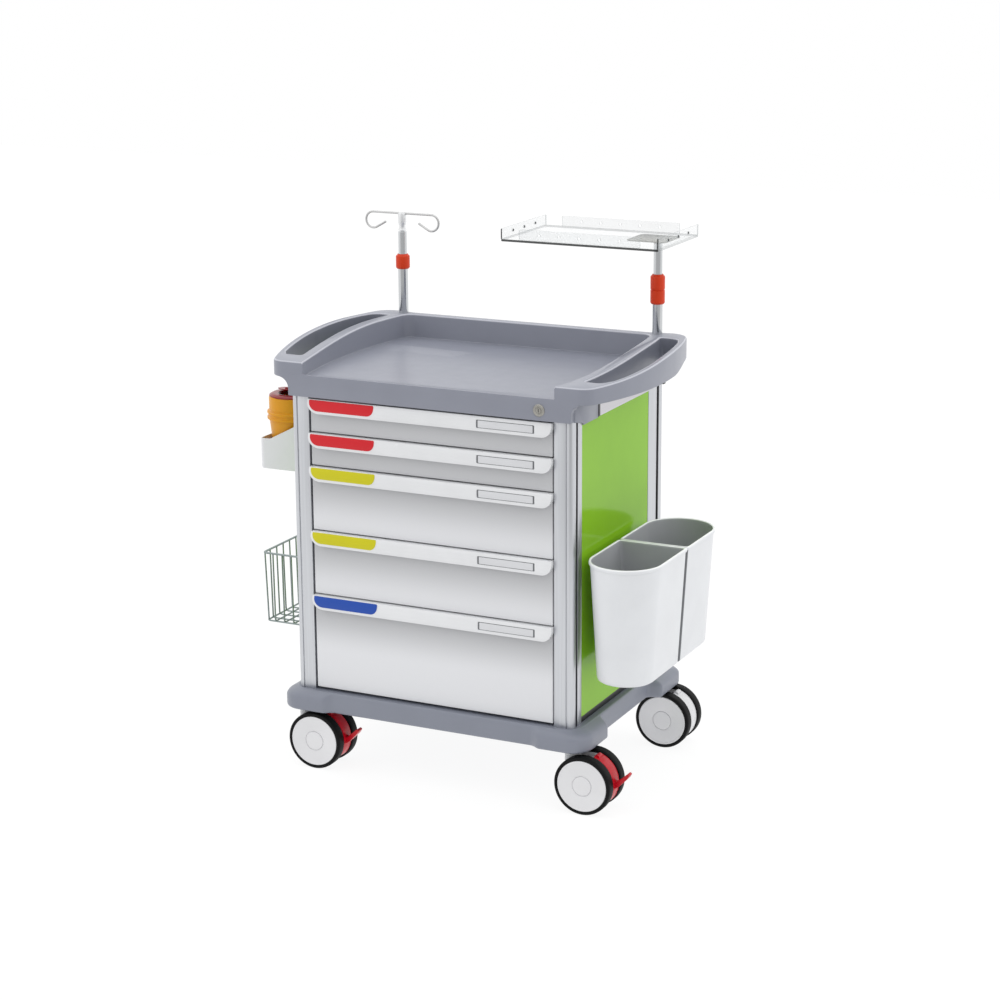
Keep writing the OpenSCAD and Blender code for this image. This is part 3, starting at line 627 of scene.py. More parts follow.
def slot_outline(side):
    """The finger opening between the tray's side wall and the bowed handle."""
    ring = 13
    points = arc(343 - TRAY_BOW, 15, TRAY_BOW, 9.3, -9.9, 36)
    points += arc(330, -185, 3, 180, 270, 3)[1:] + arc(354, -174, 14, -90, -20, 6)
    points += bow_points(HANDLE_X - ring, FRONT_BOW - ring, -164, 0, 20)
    points += bow_points(HANDLE_X - ring - 0.8, REAR_BOW - ring, 9, 172, 20)
    points += arc(347, 181, 27, 15, 90, 8) + arc(333, 203, 5, 90, 150, 3)
    return [(side * x, y) for x, y in points]


def rim_height(y):
    """Height of the sloping rim at a distance y behind the middle."""
    middle = RIM_HIGH - RIM_DROP / 2
    return middle + RIM_DROP / 2 * math.sin(math.radians(90 * max(-1, min(1, (y + 55) / 190))))


SLOTS = {side: slot_outline(side) for _, side in SIDES}


def within(outline, x, y):
    """Whether a point is inside a closed outline."""
    inside = False
    for (x0, y0), (x1, y1) in zip(outline, outline[1:] + outline[:1]):
        if (y0 > y) != (y1 > y) and x < x0 + (y - y0) * (x1 - x0) / (y1 - y0):
            inside = not inside
    return inside


def in_slot(at, n):
    """Whether a face is on the wall of a finger opening."""
    slot = SLOTS[1 if at.x > 0 else -1]
    return abs(n.z) < 0.3 and within(slot, at.x + 4 * n.x, at.y + 4 * n.y)


def make_worktop():
    """Tray, rim, handles, front lip and skirt in one moulding, with its sloping rim."""
    top = solid("worktop_moulding", prism(handle_outline(), HANDLE_LOW, RIM_HIGH))
    flare = arc(347, 833, 24, 180, 90, 8)
    right = [(323, CAB_TOP)] + flare + [(347, SKIRT_TOP)]
    facade = solid("facade", along_y(right + mirrored(right), -TOP_Y - 5, -228))
    combine(facade, prism(handle_outline(), CAB_TOP - 5, SKIRT_TOP + 4), "INTERSECT")
    combine(top, facade, "UNION")
    for _, side in SIDES:
        x0, x1 = span(side, 290, 325)
        combine(top, box((x0, -236, CAB_TOP), (x1, -121, SKIRT_TOP)), "UNION")
    rear = rectangle(-SKIRT_X, 152, SKIRT_X, TOP_Y, [0, 0, 26, 26], 12)
    combine(top, prism(rear, CAB_TOP, SKIRT_TOP), "UNION")
    combine(top, prism(tray_outline(), TRAY_Z, RIM_HIGH + 60), "DIFFERENCE")
    for _, side in SIDES:
        combine(top, prism(slot_outline(side), HANDLE_LOW - 50, RIM_HIGH + 60), "DIFFERENCE")
    hollow = box((-311, -TOP_Y + 12, CAB_TOP - 5), (311, TOP_Y - 26, TRAY_Z - 6))
    combine(top, hollow, "DIFFERENCE")
    lip = [(-TOP_Y, TRAY_Z - 4), (-TOP_Y, LIP_Z), (-TOP_Y + 5, LIP_Z), (-TOP_Y + 13, TRAY_Z),
           (-TOP_Y + 13, TRAY_Z - 4)]
    combine(top, along_x(lip, -291, 291), "UNION")
    tidy_mesh(top, 0.6)
    round_rim(top, 4.6, 1.8, RIM_HIGH - 1)
    for v in top.data.vertices:
        x, y, z = v.co / MM
        if z > SLOPED:
            v.co.z += (rim_height(y) - RIM_HIGH) * MM
        elif HANDLE_LOW - 1 < z < HANDLE_LOW + 6 and abs(x) > 330:
            v.co.z += HANDLE_RISE * smoothstep(90, 190, y) * MM
    piece(top, "cart", GREY, ["worktop"], 42)
    # The rim faces that tilt upwards get the painted highlight.
    recolour(top, RIM_PAINTED_HIGHLIGHT, lambda at, n: 0.2 < n.z < 0.93 and at.z > rim_height(at.y) - 4.5)
    # The walls of the finger openings get the painted shade.
    recolour(top, SLOT_PAINTED_SHADE, in_slot)


def make_skirt_trim():
    """The flat cheek, a black block that paints the shade of the gap at the side trim's front end,
    pole clip and screw under each handle.
    """
    cheek = [(-234, CAB_TOP), (-194, 809), (-194, 805.5), (-121, 805.5), (-121, 862), (-234, 862)]
    for hand, side in SIDES:
        x0, x1 = span(side, 324, 326)
        wall = soften(solid(f"skirt_cheek_{hand}", along_x(cheek, x0, x1)), 0.6, 2)
        piece(wall, "cart", GREY)
        x0, x1 = span(side, 318, 326.2)
        # A black block stands for the shaded gap between the skirt wall and the side trim: painted
        # shade.
        black_trim(f"trim_gap_painted_shade_{hand}", box((x0, -120.5, 807), (x1, -110, 856)), 0.5)
        x0, x1 = span(side, 318, 328)
        black_trim(f"pole_clip_{hand}", box((x0, 226, 806), (x1, 236.5, 818)), 1.5, 3)
        head = lathe([(0, -1), (4.6, -1), (4.6, 1), (3.6, 2.2), (0, 2.4)], 28)
        spot = Matrix.Translation((side * 326, -165, 849))
        screw = moved(head, spot @ Matrix.Rotation(side * math.pi / 2, 4, "Y"))
        piece(solid(f"skirt_screw_{hand}", screw), "cart", BLACK_PLASTIC)


make_worktop()
make_skirt_trim()

# ---- base

BASE_LOW, BASE_TOP = node_box("base")[0].z, node_box("base")[1].z
WAIST_X, WAIST_Y = 338, 250
FRONT_PAD = (360, 261.5, 45)              # half width, half depth and corner radius
REAR_PAD = (366, 268, 35)


def base_outline(bulge, inset):
    """The base seen from above: a waist whose corners swell into round bumpers."""
    (fx, fy), (rx, ry) = [(WAIST_X + (x - WAIST_X) * bulge, WAIST_Y + (y - WAIST_Y) * bulge)
                          for x, y, _ in (FRONT_PAD, REAR_PAD)]
    fr, rr = FRONT_PAD[2], REAR_PAD[2]
    half = []
    for i in range(1, 96):
        x = (fx - fr) * i / 96
        half.append((x, -WAIST_Y - (fy - WAIST_Y) * smoothstep(232, 256, x)))
    half += arc(fx - fr, fr - fy, fr, -90, 0, 14)
    for i in range(1, 140):
        y = (fr - fy) + (ry - rr + fy - fr) * i / 140
        half.append((WAIST_X + (fx - WAIST_X) * smoothstep(125, 142, -y)
                     + (rx - WAIST_X) * smoothstep(125, 142, y), y))
    half += arc(rx - rr, ry - rr, rr, 0, 90, 14)
    for i in range(95, 0, -1):
        x = (rx - rr) * i / 96
        half.append((x, WAIST_Y + (ry - WAIST_Y) * smoothstep(232, 256, x)))
    points = [Vector(p) for p in half + mirrored(half)]
    out = []
    for i, p in enumerate(points):
        way = points[(i + 1) % len(points)] - points[i - 1]
        normal = Vector((way.y, -way.x)).normalized()
        out.append(p - normal * inset)
    return out


def make_base():
    levels = [(0, 1, 26), (0, 1, 7), (0.5, 1, 3.5), (2.5, 1, 1), (6, 1, 0), (24, 1, 0),
              (27, 0.985, 0), (30, 0.93, 0), (33, 0.84, 0), (36, 0.7, 0), (38.5, 0.52, 0),
              (40.5, 0.34, 0), (42, 0.18, 0.2), (43, 0.08, 0.6), (44.2, 0, 1.2), (45.2, 0, 2.4),
              (45.5, 0, 4), (45.5, 0, 30)]
    rings = [[(p.x, p.y, BASE_LOW + z) for p in base_outline(bulge, inset)]
             for z, bulge, inset in levels]
    piece(solid("base_moulding", loft(rings)), "cart", BASE_GREY, ["base"], 50)


make_base()
dress("chassis_frame", CHASSIS_BLACK)

# ---- posts and panels

CAB_X, CAB_Y = node_box("post_front_right")[1].x, -node_box("post_front_right")[0].y
POST_W = 42
POST_Z = (BASE_TOP, CAB_TOP)


def post_outline(depth, slot_at, mouth, corner, groove):
    """Section of an extruded post: outer corner at the origin, body towards -X and +Y."""
    points = [(-POST_W, 0)]
    if groove:
        points += [(-16, 0), (-16, 2.6), (-13, 2.6), (-13, 0)]
    points += arc(-corner, corner, corner, -90, 0, 10)
    inner = (slot_at - 2.6, slot_at + mouth + 2.6)
    points += [(0, slot_at), (-2, slot_at), (-2, inner[0]), (-7.6, inner[0]), (-7.6, inner[1]),
               (-2, inner[1]), (-2, slot_at + mouth), (0, slot_at + mouth), (0, depth),
               (-POST_W, depth)]
    return points


def make_posts():
    kinds = (("front", -1, 43, 14.3, 8.8, 11, True), ("rear", 1, 85, 27.5, 12.5, 14, False))
    for end, back, depth, slot_at, mouth, corner, groove in kinds:
        outline = post_outline(depth, slot_at, mouth, corner, groove)
        for hand, side in SIDES:
            at = [(side * (CAB_X + u), back * (CAB_Y - v)) for u, v in outline]
            post = solid(f"post_{end}_{hand}_extrusion", prism(at, *POST_Z))
            soften(post, 0.5, 2, 40)
            piece(post, "cart", ANODISED, [f"post_{end}_{hand}"], 40)
            strip = [(u * side + side * CAB_X, back * (CAB_Y - v)) for u, v in
                     ((-7.5, slot_at - 2.4), (-4.6, slot_at - 2.4),
                      (-4.6, slot_at + mouth + 2.4), (-7.5, slot_at + mouth + 2.4))]
            cover = prism(strip, POST_Z[0] + 1, POST_Z[1] - 1)
            black_trim(f"slot_cover_{end}_{hand}", cover, 0.6)


make_posts()
for hand, side in SIDES:
    x0, x1 = span(side, 318, 321.5)
    seal = box((x0, -193, BASE_TOP + 0.2), (x1, 151, BASE_TOP + 14))
    black_trim(f"panel_seal_{hand}", seal, 0.4)
for panel, coating in (("side_panels", GREEN), ("back_panel", PANEL_WHITE)):
    dress(panel, coating)
dress("side_trims", TRIM)
dress("drawer_rails", ZINC)
dress("screws", ZINC)

# ---- drawers

STRIP_H = 31
STRIP_BULGE = 2.5
STRIP_X = node_box("drawer_front_1")[1].x
FRONT_X = STRIP_X - 2
FRONT_BACK = node_box("drawer_front_1")[1].y
FRONT_Y = -CAB_Y - 7.5                    # plane of the strips' upper and lower edges
FACE_Y = FRONT_Y + 9
TAB = (-274.5, -123, 23.5)                # left end, right end and height
LABEL = (112.5, 242.5, 18)                # the same for the label window


def strip_section(out=0.0):
    """Section of the convex grip strip in Y and Z, with its top at 0, grown forward by out."""
    sag = STRIP_BULGE + out
    radius = ((STRIP_H / 2) ** 2 + sag ** 2) / (2 * sag)
    half = math.degrees(math.asin(STRIP_H / 2 / radius))
    front = arc(FRONT_Y - sag + radius, -STRIP_H / 2, radius, 180 - half, 180 + half, 16)
    return [(FRONT_BACK, 0)] + front + [(FRONT_BACK, -STRIP_H)]


def make_drawer_front(n):
    low, high = node_box(f"drawer_front_{n}")
    top = high.z
    body = f"drawer_{n}"
    sheet = box((-FRONT_X, FACE_Y, low.z), (FRONT_X, FRONT_BACK, top - 6))
    face = soften(solid(f"drawer_face_{n}", sheet), 0.9)
    piece(face, body, drawer_coating(n, top - STRIP_H))

    outline = rounded([(-STRIP_X, 0), (-STRIP_X, -STRIP_H), (STRIP_X, -STRIP_H), (STRIP_X, 0)],
                      [1.5, 24, 24, 1.5], 12)
    strip = solid(f"grip_strip_{n}", along_y(outline, FRONT_Y - 20, FRONT_BACK))
    combine(strip, along_x(strip_section(), -STRIP_X - 5, STRIP_X + 5), "INTERSECT")
    groove = along_x([(FACE_Y - 1.5, -STRIP_H - 2), (FACE_Y - 1.5, -STRIP_H + 7),
                      (FACE_Y - 6.5, -STRIP_H + 7), (FACE_Y - 6.5, -STRIP_H - 2)],
                     -STRIP_X + 24, STRIP_X - 24)
    combine(strip, groove, "DIFFERENCE")
    middle = -STRIP_H / 2
    half = LABEL[2] / 2
    x0, x1 = LABEL[:2]
    recess = rectangle(x0, middle - half, x1, middle + half, 2, 4)
    combine(strip, along_y(recess, FRONT_Y - 20, FRONT_Y - STRIP_BULGE + 1.3), "DIFFERENCE")
    soften(strip, 0.8, 3, 40)
    shift(strip, top)
    piece(strip, body, WHITE_PLASTIC, [f"drawer_front_{n}"], 30)

    for name, side, rise, depth, finish in (("label_frame", 0.6, 0.6, 0.95, LABEL_FRAME),
                                            ("label_card", 4.0, 1.7, 0.6, LABEL_PAPER)):
        window = rectangle(x0 + side, middle - half + rise, x1 - side, middle + half - rise,
                           1.6, 4)
        back = FRONT_Y - STRIP_BULGE + 1.6
        card = solid(f"{name}_{n}", along_y(window, FRONT_Y - STRIP_BULGE + depth, back))
        soften(card, 0.2, 2)
        shift(card, top)
        piece(card, body, finish)

    shape = rounded([(TAB[0], -1.2), (TAB[0], -1.2 - TAB[2]), (TAB[1], -1.2 - TAB[2]),
                     (TAB[1], -1.2)], [1.5, 19, 17, 3], 10)
    tab = solid(f"drawer_tab_{n}", along_y(shape, FRONT_Y - 20, FACE_Y - 7))
    section = [(y - 0.9, z) for y, z in strip_section()]
    combine(tab, along_x(section, TAB[0] - 5, TAB[1] + 5), "INTERSECT")
    soften(tab, 0.7, 3, 40)
    shift(tab, top)
    piece(tab, body, TAB_MATERIALS[n - 1], [f"colour_tab_{n}"], 30)
    dress(f"drawer_box_{n}", PANEL_WHITE)


def shift(obj, z):
    """Lifts a mesh by z millimetres."""
    obj.data.transform(Matrix.Translation((0, 0, z * MM)))


for number in range(1, 6):
    make_drawer_front(number)

# ---- lock

dress("lock_plug", NICKEL)
dress("lock_bar", ZINC)


def make_lock():
    at = joint_point("lock_turn")
    profile = [(0, -8), (9, -8), (9, -0.2), (12.6, 0), (12.6, 1.2), (11.6, 2.2), (8.2, 2.4),
               (7.6, 1.7), (6.3, 1.7), (5.9, 2.3), (5.7, 1.4), (0, 1.4)]
    ring = moved(lathe(profile, 64), Matrix.Translation((at.x, -TOP_Y, at.z)) @ TO_Y)
    piece(solid("lock_escutcheon", ring), "cart", NICKEL, ["lock_barrel"], 30)
    face = [(0, 1.5), (5.2, 1.5), (5.5, 2.0), (5.1, 2.7), (0, 2.9)]
    disc = solid("lock_face", moved(lathe(face, 48), TO_Y))
    combine(disc, box((-0.8, -4, -3.6), (0.8, -1.9, 3.6)), "DIFFERENCE")
    disc.data.transform(Matrix.Translation(Vector((at.x, -TOP_Y, at.z)) * MM))
    piece(disc, "lock_plug", NICKEL, smooth=30)
    # A black sheet at the bottom of the shallow keyhole cut: painted shade of the keyhole's depth.
    keyhole = box((at.x - 0.7, -TOP_Y - 2, at.z - 3.4), (at.x + 0.7, -TOP_Y - 1.7, at.z + 3.4))
    slit = soften(solid("lock_keyhole_painted_shade", keyhole), 0.1, 2)
    piece(slit, "lock_plug", BLACK_PLASTIC)


make_lock()

# ---- casters

WHEEL_R = node_box("tyre_front_left")[1].z / 2
DISC_R = 55
TWIN = 84                     # width over the pair of wheels
WHEEL_W = 24
CASTERS = ("front_left", "front_right", "rear_left", "rear_right")


def at_axle(part, axle):
    """Turns a part drawn round Z, with +Z outwards at the front, onto the axle."""
    return moved(part, Matrix.Translation(axle) @ TO_Y)


def make_wheels(name):
    axle = joint_point(f"roll_{name}")
    body = f"wheels_{name}"
    h = WHEEL_W / 2
    tyre = [(DISC_R - 0.6, -h + 1.5), (DISC_R + 1.5, -h + 0.3), (58.5, -h), (60.8, -h + 0.7),
            (62.1, -h + 2.4), (WHEEL_R, -h + 6), (WHEEL_R, h - 6), (62.1, h - 2.4),
            (60.8, h - 0.7), (58.5, h), (DISC_R + 1.5, h - 0.3), (DISC_R - 0.6, h - 1.5),
            (DISC_R - 0.6, -h + 1.5)]
    disc = [(0, h - 1.5), (19.6, h - 1.6), (20.3, h - 2.2), (20.6, h - 3.6), (21.8, h - 3.6),
            (22.1, h - 2.2), (23.2, h - 1.7), (49.6, h - 1.6), (50.6, h - 1.2), (51.6, h - 0.5),
            (53.2, h - 0.4), (54.2, h - 0.9), (DISC_R - 0.2, h - 2.2), (DISC_R - 0.2, -h + 2),
            (52, -h + 1.2), (30, -h + 1.2), (26, -h + 3), (8, -h + 3), (8, -h - 4), (0, -h - 4)]
    halves, treads = [], []
    for way in (1, -1):
        spin = Matrix.Rotation(0 if way > 0 else math.pi, 4, "X")
        out = Matrix.Translation((0, 0, way * (TWIN - WHEEL_W) / 2)) @ spin
        halves.append(moved(lathe(disc, 96), out))
        treads.append(moved(lathe(tyre, 120), out))
    discs = solid(f"wheel_discs_{name}", at_axle(joined(halves), axle))
    piece(discs, body, WHEEL_WHITE, [f"wheel_{name}"], 28)
    tyres = solid(f"tyres_{name}", at_axle(joined(treads), axle))
    piece(tyres, body, RUBBER, [f"tyre_{name}"], 35)


def wheel_guard(name, r0, r1, half):
    """A piece of a ring round the axle, between the wheels, with a round boss at its top."""
    start, end = -38, 74                  # degrees above +X
    outline = arc(0, 0, r1, start, end, 40) + arc(0, 0, r0, end, start, 40)
    guard = solid(name, along_y(outline, -half, half))
    return combine(guard, along_y(arc(19.8, 54.5, 6, 0, 345, 23), -9, 9), "UNION")


def make_housing(name, braked):
    axle = joint_point(f"roll_{name}")
    stem = joint_point(f"swivel_{name}")
    body = f"caster_{name}"
    head = [(0, 82), (15, 82), (16.6, 86), (17.3, 94), (17.3, 121.5), (19.5, 123.4), (24, 124),
            (24, 125.8), (22.5, 126.5), (9, 126.8), (8, 129), (8, 150), (0, 150)]
    neck = moved(lathe(head, 72), Matrix.Translation((stem.x, stem.y, 0)))
    piece(solid(f"swivel_neck_{name}", neck), body, HOUSING_GREY, smooth=35)
    core = [(5.2, -13), (46, -13), (48, -11), (48, 11), (46, 13), (5.2, 13), (5.2, -13)]
    disc = at_axle(lathe(core, 72), axle)
    piece(solid(f"caster_core_{name}", disc), body, HOUSING_GREY,
          [f"caster_housing_{name}"], 35)
    if not braked:
        guard = wheel_guard(f"caster_guard_{name}", 46.5, 59.5, 16)
        soften(guard, 2.4, 4, 40)
        guard.data.transform(Matrix.Translation(axle * MM))
        piece(guard, body, WHEEL_WHITE, smooth=35)


def make_pedal(name):
    axle = joint_point(f"brake_{name}")
    pedal = wheel_guard(f"brake_lever_{name}", 51.5, 59.8, 15.5)
    tip = rounded([(52, -9), (58, -9), (70, 0), (87, 18), (92, 26), (87, 29), (81, 23),
                   (64, 8), (52, 2)], [0, 2, 6, 6, 2.5, 2.5, 5, 6, 0], 4)
    combine(pedal, along_y(tip, -9, 9), "UNION")
    cross = rounded([(51, -10), (61, -8), (61, -2), (51, -4)], 1.5, 3)
    combine(pedal, along_y(cross, -17, 15.5), "UNION")
    soften(pedal, 1.6, 3, 36)
    pedal.data.transform(Matrix.Translation(axle * MM))
    piece(pedal, f"pedal_{name}", PEDAL_RED, [f"brake_pedal_{name}"], 35)


for caster in CASTERS:
    make_wheels(caster)
    make_housing(caster, caster.startswith("front"))
for caster in CASTERS[:2]:
    make_pedal(caster)

# ---- poles

POLE = {"drip": joint_point("drip_hooks_swivel"), "shelf": joint_point("shelf_swivel")}
TUBE_R = 11
INNER_R = 9.5


def on_pole(part, which):
    return shifted(part, POLE[which].x, POLE[which].y, 0)


def make_pole(which):
    """The fixed tube, the inner tube that rises out of it, and the clamp collar."""
    low, high = node_box(f"{which}_pole_tube")
    outer = [(9.7, low.z), (TUBE_R - 0.4, low.z), (TUBE_R, low.z + 0.4), (TUBE_R, high.z - 0.4),
             (TUBE_R - 0.4, high.z), (9.7, high.z), (9.7, low.z)]
    tube_piece = solid(f"{which}_lower_tube", on_pole(lathe(outer, 64), which))
    piece(tube_piece, "cart", CHROME, [f"{which}_pole_tube"], 30)
    low, high = node_box(f"{which}_pole_upper")
    shoulder = high.z - (18 if which == "drip" else 11)
    inner = [(0, low.z), (INNER_R - 0.5, low.z), (INNER_R, low.z + 0.5), (INNER_R, shoulder - 0.6),
             (INNER_R - 0.6, shoulder), (6, shoulder), (6, high.z - 0.5), (5.5, high.z),
             (0, high.z)]
    inner_piece = solid(f"{which}_upper_tube", on_pole(lathe(inner, 64), which))
    piece(inner_piece, f"{which}_upper", CHROME, [f"{which}_pole_upper"], 30)
    low, high = node_box(f"{which}_pole_collar")
    z0, z1 = low.z, high.z
    ring = [(TUBE_R + 0.05, z0), (13.2, z0), (14, z0 + 0.8), (15.6, z0 + 3.2), (15.6, z1 - 5.5),
            (15, z1 - 4), (12.6, z1 - 2), (12.2, z1 - 0.6), (11.6, z1), (9.9, z1),
            (9.9, z1 - 2), (TUBE_R + 0.05, z1 - 2.1), (TUBE_R + 0.05, z0)]
    if which == "shelf":
        split = z0 + 31
        grooves = [(15.6, split - 1.4), (14.2, split - 0.6), (14.2, split + 0.6),
                   (15.6, split + 1.4)]
        ring = ring[:4] + grooves + ring[4:]
    collar = solid(f"{which}_clamp_collar", on_pole(lathe(ring, 64), which))
    piece(collar, f"{which}_collar", COLLAR, [f"{which}_pole_collar"], 30)


for pole_name in POLE:
    make_pole(pole_name)

HOOK_Z = node_box("drip_hooks")[1].z - 4
HOOK_REACH = 91
HOOK_BEND = 18


def make_hooks():
    """Stem with a necked foot, and one bent wire that carries both hooks."""
    z = HOOK_Z
    stem = [(6.1, z - 37.8), (8.9, z - 37.8), (9.3, z - 37), (7.2, z - 33), (6.8, z - 28),
            (8.9, z - 22), (9.1, z - 18), (9.1, z + 0.6), (8.4, z + 1.6), (0, z + 2), (0, z - 20),
            (6.1, z - 20), (6.1, z - 37.8)]
    part = on_pole(lathe(stem, 56), "drip")
    piece(solid("hook_stem", part), "drip_head", STEM_STEEL, ["drip_hooks"], 35)
    bx = HOOK_REACH - HOOK_BEND
    bend = [(x, z - HOOK_BEND + y) for x, y in arc(bx, 0, HOOK_BEND, 90, -120, 22)]
    tip_x = bend[-1][0] + 26 * math.cos(math.radians(150))
    tip_z = bend[-1][1] + 26 * math.sin(math.radians(150))
    half = bend + [(tip_x, tip_z)]
    path = [(-x, 0, y) for x, y in reversed(half)] + [(0, 0, z)] + [(x, 0, y) for x, y in half]
    wire = solid("drip_hook_wire", on_pole(tube(path, 2.6, 14), "drip"))
    piece(wire, "drip_head", HOOK_STEEL, smooth=60)


make_hooks()

# ---- clear shelf

SHELF_LOW, SHELF_HIGH = node_box("clear_shelf")
PLATE_T = 5


def edge_tint(obj, thin):
    """Gives the narrow sawn edges of a clear plate their finish, and those facing the front a
    painted shade. thin is the plate's thin axis.
    """
    axis = "xyz".index(thin)
    recolour(obj, ACRYLIC_EDGE, lambda at, n: abs(n[axis]) < 0.5)
    if thin != "y":
        # Edges facing the front get the painted shade.
        recolour(obj, ACRYLIC_FRONT_EDGE_PAINTED_SHADE, lambda at, n: abs(n[axis]) < 0.5 and n.y < -0.6)


def fence(name, x0, x1, y0, y1, holes, way):
    """A standing fence with a row of holes, thin along the axis named way."""
    z0, z1 = SHELF_FLOOR + PLATE_T + 0.05, SHELF_HIGH.z
    corners = [0, 0, 2.5, 2.5]
    if way == "y":
        plate = solid(name, along_y(rectangle(x0, z0, x1, z1, corners, 4), y0, y1))
    else:
        plate = solid(name, along_x(rectangle(y0, z0, y1, z1, corners, 4), x0, x1))
    middle = (z0 + z1) / 2
    drill = lathe([(0, -9), (3.2, -9), (3.2, 9), (0, 9)], 28)
    for i in range(1, holes + 1):
        share = i / (holes + 1)
        if way == "y":
            at = (x0 + (x1 - x0) * share, (y0 + y1) / 2, middle)
            combine(plate, moved(drill, Matrix.Translation(at) @ TO_Y), "DIFFERENCE")
        else:
            at = ((x0 + x1) / 2, y0 + (y1 - y0) * share, middle)
            combine(plate, moved(drill, Matrix.Translation(at) @ TO_X), "DIFFERENCE")
    soften(plate, 0.35, 2)
    piece(plate, "shelf", ACRYLIC, smooth=35)
    edge_tint(plate, way)


SHELF_FLOOR = joint_point("shelf_swivel").z + 8


def make_shelf():
    x0, y0 = SHELF_LOW.x, SHELF_LOW.y
    x1, y1 = SHELF_HIGH.x, SHELF_HIGH.y
    outline = rectangle(x0, y0, x1, y1, 5, 5)
    floor = solid("shelf_floor", prism(outline, SHELF_FLOOR, SHELF_FLOOR + PLATE_T))
    soften(floor, 0.5, 2)
    piece(floor, "shelf", ACRYLIC, ["clear_shelf"], 35)
    edge_tint(floor, "z")
    inset = 42
    fence("shelf_fence_front", x0 + inset, x1 - inset, y0 + 2, y0 + 5, 5, "y")
    fence("shelf_fence_back", x0 + inset, x1 - inset, y1 - 5, y1 - 2, 5, "y")
    fence("shelf_fence_left", x0 + 0.5, x0 + 3.5, y0 + 1, y1 - 1, 3, "x")
    fence("shelf_fence_right", x1 - 3.5, x1 - 0.5, y0 + 1, y1 - 1, 3, "x")
    pole = POLE["shelf"]
    plate = rectangle(pole.x - 45, pole.y - 71, pole.x + 45, pole.y + 19, 10)
    mount = solid("shelf_mounting_plate", prism(plate, SHELF_FLOOR - 2.9, SHELF_FLOOR - 0.1))
    soften(mount, 0.6, 2)
    piece(mount, "shelf", NICKEL, smooth=35)
    z = SHELF_FLOOR
    socket = [(6.1, z - 13.4), (11, z - 13.4), (12, z - 12.6), (12, z - 5), (15, z - 3),
              (0, z - 3), (0, z - 4), (6.1, z - 4), (6.1, z - 13.4)]
    part = solid("shelf_socket", on_pole(lathe(socket, 56), "shelf"))
    piece(part, "shelf", NICKEL, smooth=35)


make_shelf()

# ---- bins

BIN_R = 77.5
BIN_LEN = 137
BIN_TAPER = 15
BIN_WALL = 2.6


def d_outline(r, length, back=0.0, corner=7):
    """A D seen from above: flat side at y = -back, round end towards -Y."""
    points = arc(0, -length, r, 180, 360, 48)
    points += [p for p in rounded([(r, -length), (r, -back), (-r, -back), (-r, -length)],
                                  [0, corner, corner, 0], 6)][1:-1]
    return points


def make_bin(end, flip):
    low, high = node_box(f"bin_{end}")
    x = high.x - BIN_R
    split = high.y if flip > 0 else low.y
    h = high.z - low.z
    rim = BIN_R - 2.5
    levels = [(0, -BIN_TAPER - 9, 0), (0.6, -BIN_TAPER - 4, 0), (2.4, -BIN_TAPER - 1.4, 0),
              (6, -BIN_TAPER, 0), (h - 9, -0.4, 0), (h - 8.2, 0.4, 0), (h - 7.4, 2.0, 0),
              (h - 6, 2.5, 0), (h - 2.2, 2.5, 0), (h - 0.6, 1.9, 0.4), (h, 0.6, 1.6),
              (h - 0.2, -1.4, 3.2), (h - 1.4, -2.6, 4.4), (h - 5, -3.0, 5.1),
              (8, -BIN_TAPER - BIN_WALL, BIN_WALL), (BIN_WALL + 1.5, -BIN_TAPER - 5, 5),
              (BIN_WALL, -BIN_TAPER - 12, 12)]
    rings = [[(px, flip * py, z) for px, py in d_outline(rim + grow, BIN_LEN, back)]
             for z, grow, back in levels]
    part = shifted(loft(rings), x, split, low.z)
    body = solid(f"waste_bin_{end}", part)
    piece(body, f"bin_{end}", BIN_PLASTIC, [f"bin_{end}"], 40)
    # The rounded corners beside the gap between the bins get the painted shade.
    recolour(body, BIN_GAP_PAINTED_SHADE, lambda at, n: abs(at.y - split) < 4.5 and abs(n.y) < 0.98
             and at.z < high.z - 7)
    # The upward-facing rim faces get the painted highlight.
    recolour(body, BIN_RIM_PAINTED_HIGHLIGHT, lambda at, n: high.z - 6.5 < at.z and n.z > 0.3)
    axis = Vector((x, split - flip * 90, 0))

    def inside(at, n):
        away = Vector((at.x - axis.x, at.y - axis.y, 0))
        return at.z < high.z - 3 and (n.dot(away) < 0 or n.z > 0.5)

    # The inner walls and floor of the bin get the painted shade.
    recolour(body, BIN_INSIDE_PAINTED_SHADE, inside)
    hook_z = high.z - 19
    y0, y1 = sorted((split - flip * 28, split - flip * 65))
    profile = rounded([(CAB_X + 2, hook_z - 24), (CAB_X + 4.5, hook_z - 24),
                       (CAB_X + 4.5, hook_z - 4), (x - rim + 2, hook_z - 4), (x - rim + 2, hook_z),
                       (CAB_X + 2, hook_z)], [1, 1, 1, 0, 0, 3], 4)
    hook = soften(solid(f"bin_hook_{end}", along_y(profile, y0, y1)), 0.6, 2)
    piece(hook, f"bin_{end}", BIN_PLASTIC, smooth=35)


make_bin("front", 1)
make_bin("rear", -1)
dress("bin_bracket", ANODISED)

# ---- sharps holder and container

HOLDER_LOW = node_box("sharps_holder")[0]
HOLDER_D = 118
HOLDER_WALL = 2.6
HOLDER_Y = -100
FLAP_OPEN = 8             # degrees that the flap stands open at rest


